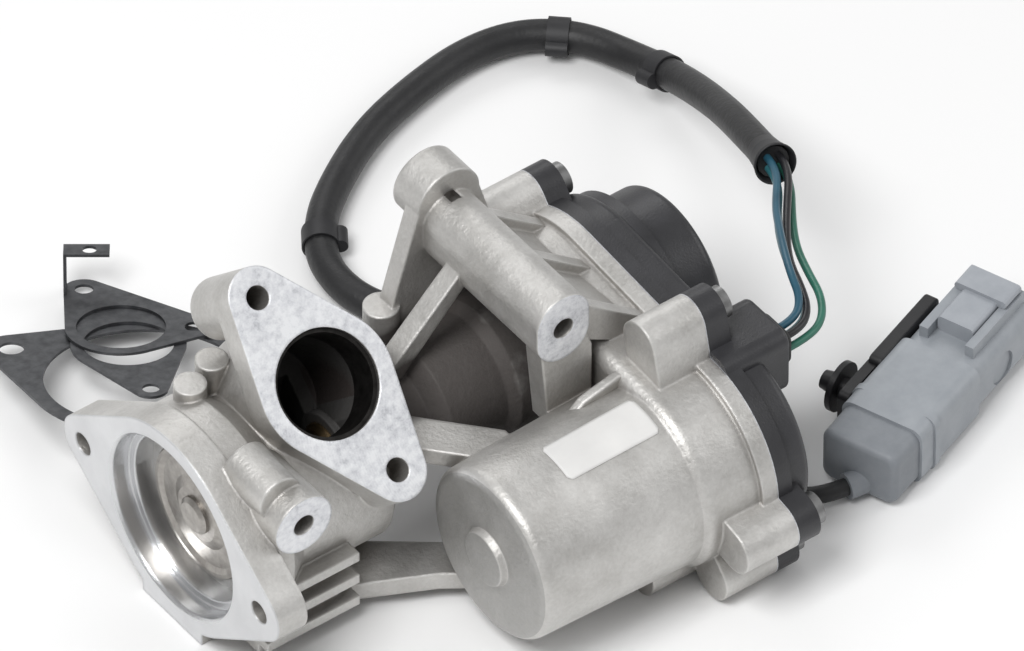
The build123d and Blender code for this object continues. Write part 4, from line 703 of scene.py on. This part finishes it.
def label_mesh():
    """Thin sheet with round corners that follows the tapered shell."""
    width = (LABEL_ANGLES[1] - LABEL_ANGLES[0]) / 180 * math.pi * SHELL_RADIUS
    length = LABEL_END_X - LABEL_START_X
    points, faces = [], []
    for column in range(LABEL_COLUMNS + 1):
        along = length * column / LABEL_COLUMNS
        to_end = min(along, length - along)
        inset = 0.0
        if to_end < LABEL_CORNER:
            inset = LABEL_CORNER - math.sqrt(LABEL_CORNER**2 - (LABEL_CORNER - to_end) ** 2)
        x = LABEL_START_X + along
        radius = SHELL_RADIUS + (x - SHELL_START_X) * SHELL_DRAFT + LABEL_LIFT
        for row in range(LABEL_ROWS + 1):
            across = inset + (width - 2 * inset) * row / LABEL_ROWS
            turn = math.radians(LABEL_ANGLES[0]) + across / SHELL_RADIUS
            out, up = radius * math.cos(turn), radius * math.sin(turn)
            points.append((x, MOTOR_Y + out, MOTOR_Z + up))
    for column in range(LABEL_COLUMNS):
        for row in range(LABEL_ROWS):
            corner = column * (LABEL_ROWS + 1) + row
            opposite = corner + LABEL_ROWS + 1
            faces.append((corner, corner + 1, opposite + 1, opposite))
    mesh = bpy.data.meshes.new("motor_label")
    mesh.from_pydata(points, [], faces)
    mesh.shade_smooth()
    mesh.materials.append(materials["label_paper"])
    return mesh


label = placed("motor_label", label_mesh())
sheet = label.modifiers.new("thickness", "SOLIDIFY")
sheet.thickness = LABEL_THICKNESS
sheet.offset = 1.0
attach(label, "root")


def stage_floor():
    mesh = bpy.data.meshes.new("floor")
    corners = [(-1, -1), (1, -1), (1, 1), (-1, 1)]
    mesh.from_pydata([(x * FLOOR_HALF, y * FLOOR_HALF, 0) for x, y in corners], [], [(0, 1, 2, 3)])
    s = Shade("floor", roughness=0.9)
    pale, paler = (0.86, 0.86, 0.86), (0.88, 0.88, 0.88)
    s.set("Base Color", s.ramp(s.noise(3.0, 2), (0.3, pale), (0.7, paler)))
    mesh.materials.append(s.material)
    floor = placed("floor", mesh)
    floor.location = (VIEW_CENTRE.x, VIEW_CENTRE.y, FLOOR_Z - FLOOR_GAP)


stage_floor()

# A pale surround, and three soft lights: above on the left, on the right and behind
world = bpy.data.worlds.new("surround")
bpy.context.scene.world = world
world.use_nodes = True
background = world.node_tree.nodes["Background"]
background.inputs["Color"].default_value = (1.0, 1.0, 1.0, 1.0)
background.inputs["Strength"].default_value = SURROUND_STRENGTH


def softbox(name, place, size, power):
    light = bpy.data.lights.new(name, "AREA")
    light.shape = "RECTANGLE"
    light.size, light.size_y = size
    light.energy = power
    lamp = placed(name, light)
    lamp.location = place
    lamp.rotation_euler = (VIEW_CENTRE - Vector(place)).to_track_quat("-Z", "Y").to_euler()


softbox("key", (-0.5, -0.2, 1.1), (0.6, 0.6), 12.0)
softbox("fill", (1.2, -0.55, 0.8), (0.9, 0.7), 4.0)
softbox("back", (0.5, 1.1, 0.9), (0.9, 0.5), 4.0)

# The camera stands far off with a long lens, so the view is close to parallel
to_camera = Vector((
    math.sin(AZIMUTH) * math.cos(ELEVATION),
    -math.cos(AZIMUTH) * math.cos(ELEVATION),
    math.sin(ELEVATION),
))
camera_data = bpy.data.cameras.new("camera")
camera_data.sensor_width = SENSOR_WIDTH
camera_data.lens = PIXELS_PER_METRE * CAMERA_DISTANCE / IMAGE_WIDTH * SENSOR_WIDTH
camera = placed("camera", camera_data)
camera.location = VIEW_CENTRE + to_camera * CAMERA_DISTANCE
camera.rotation_euler = (-to_camera).to_track_quat("-Z", "Y").to_euler()
bpy.context.scene.camera = camera
bpy.context.scene.view_settings.view_transform = "Standard"

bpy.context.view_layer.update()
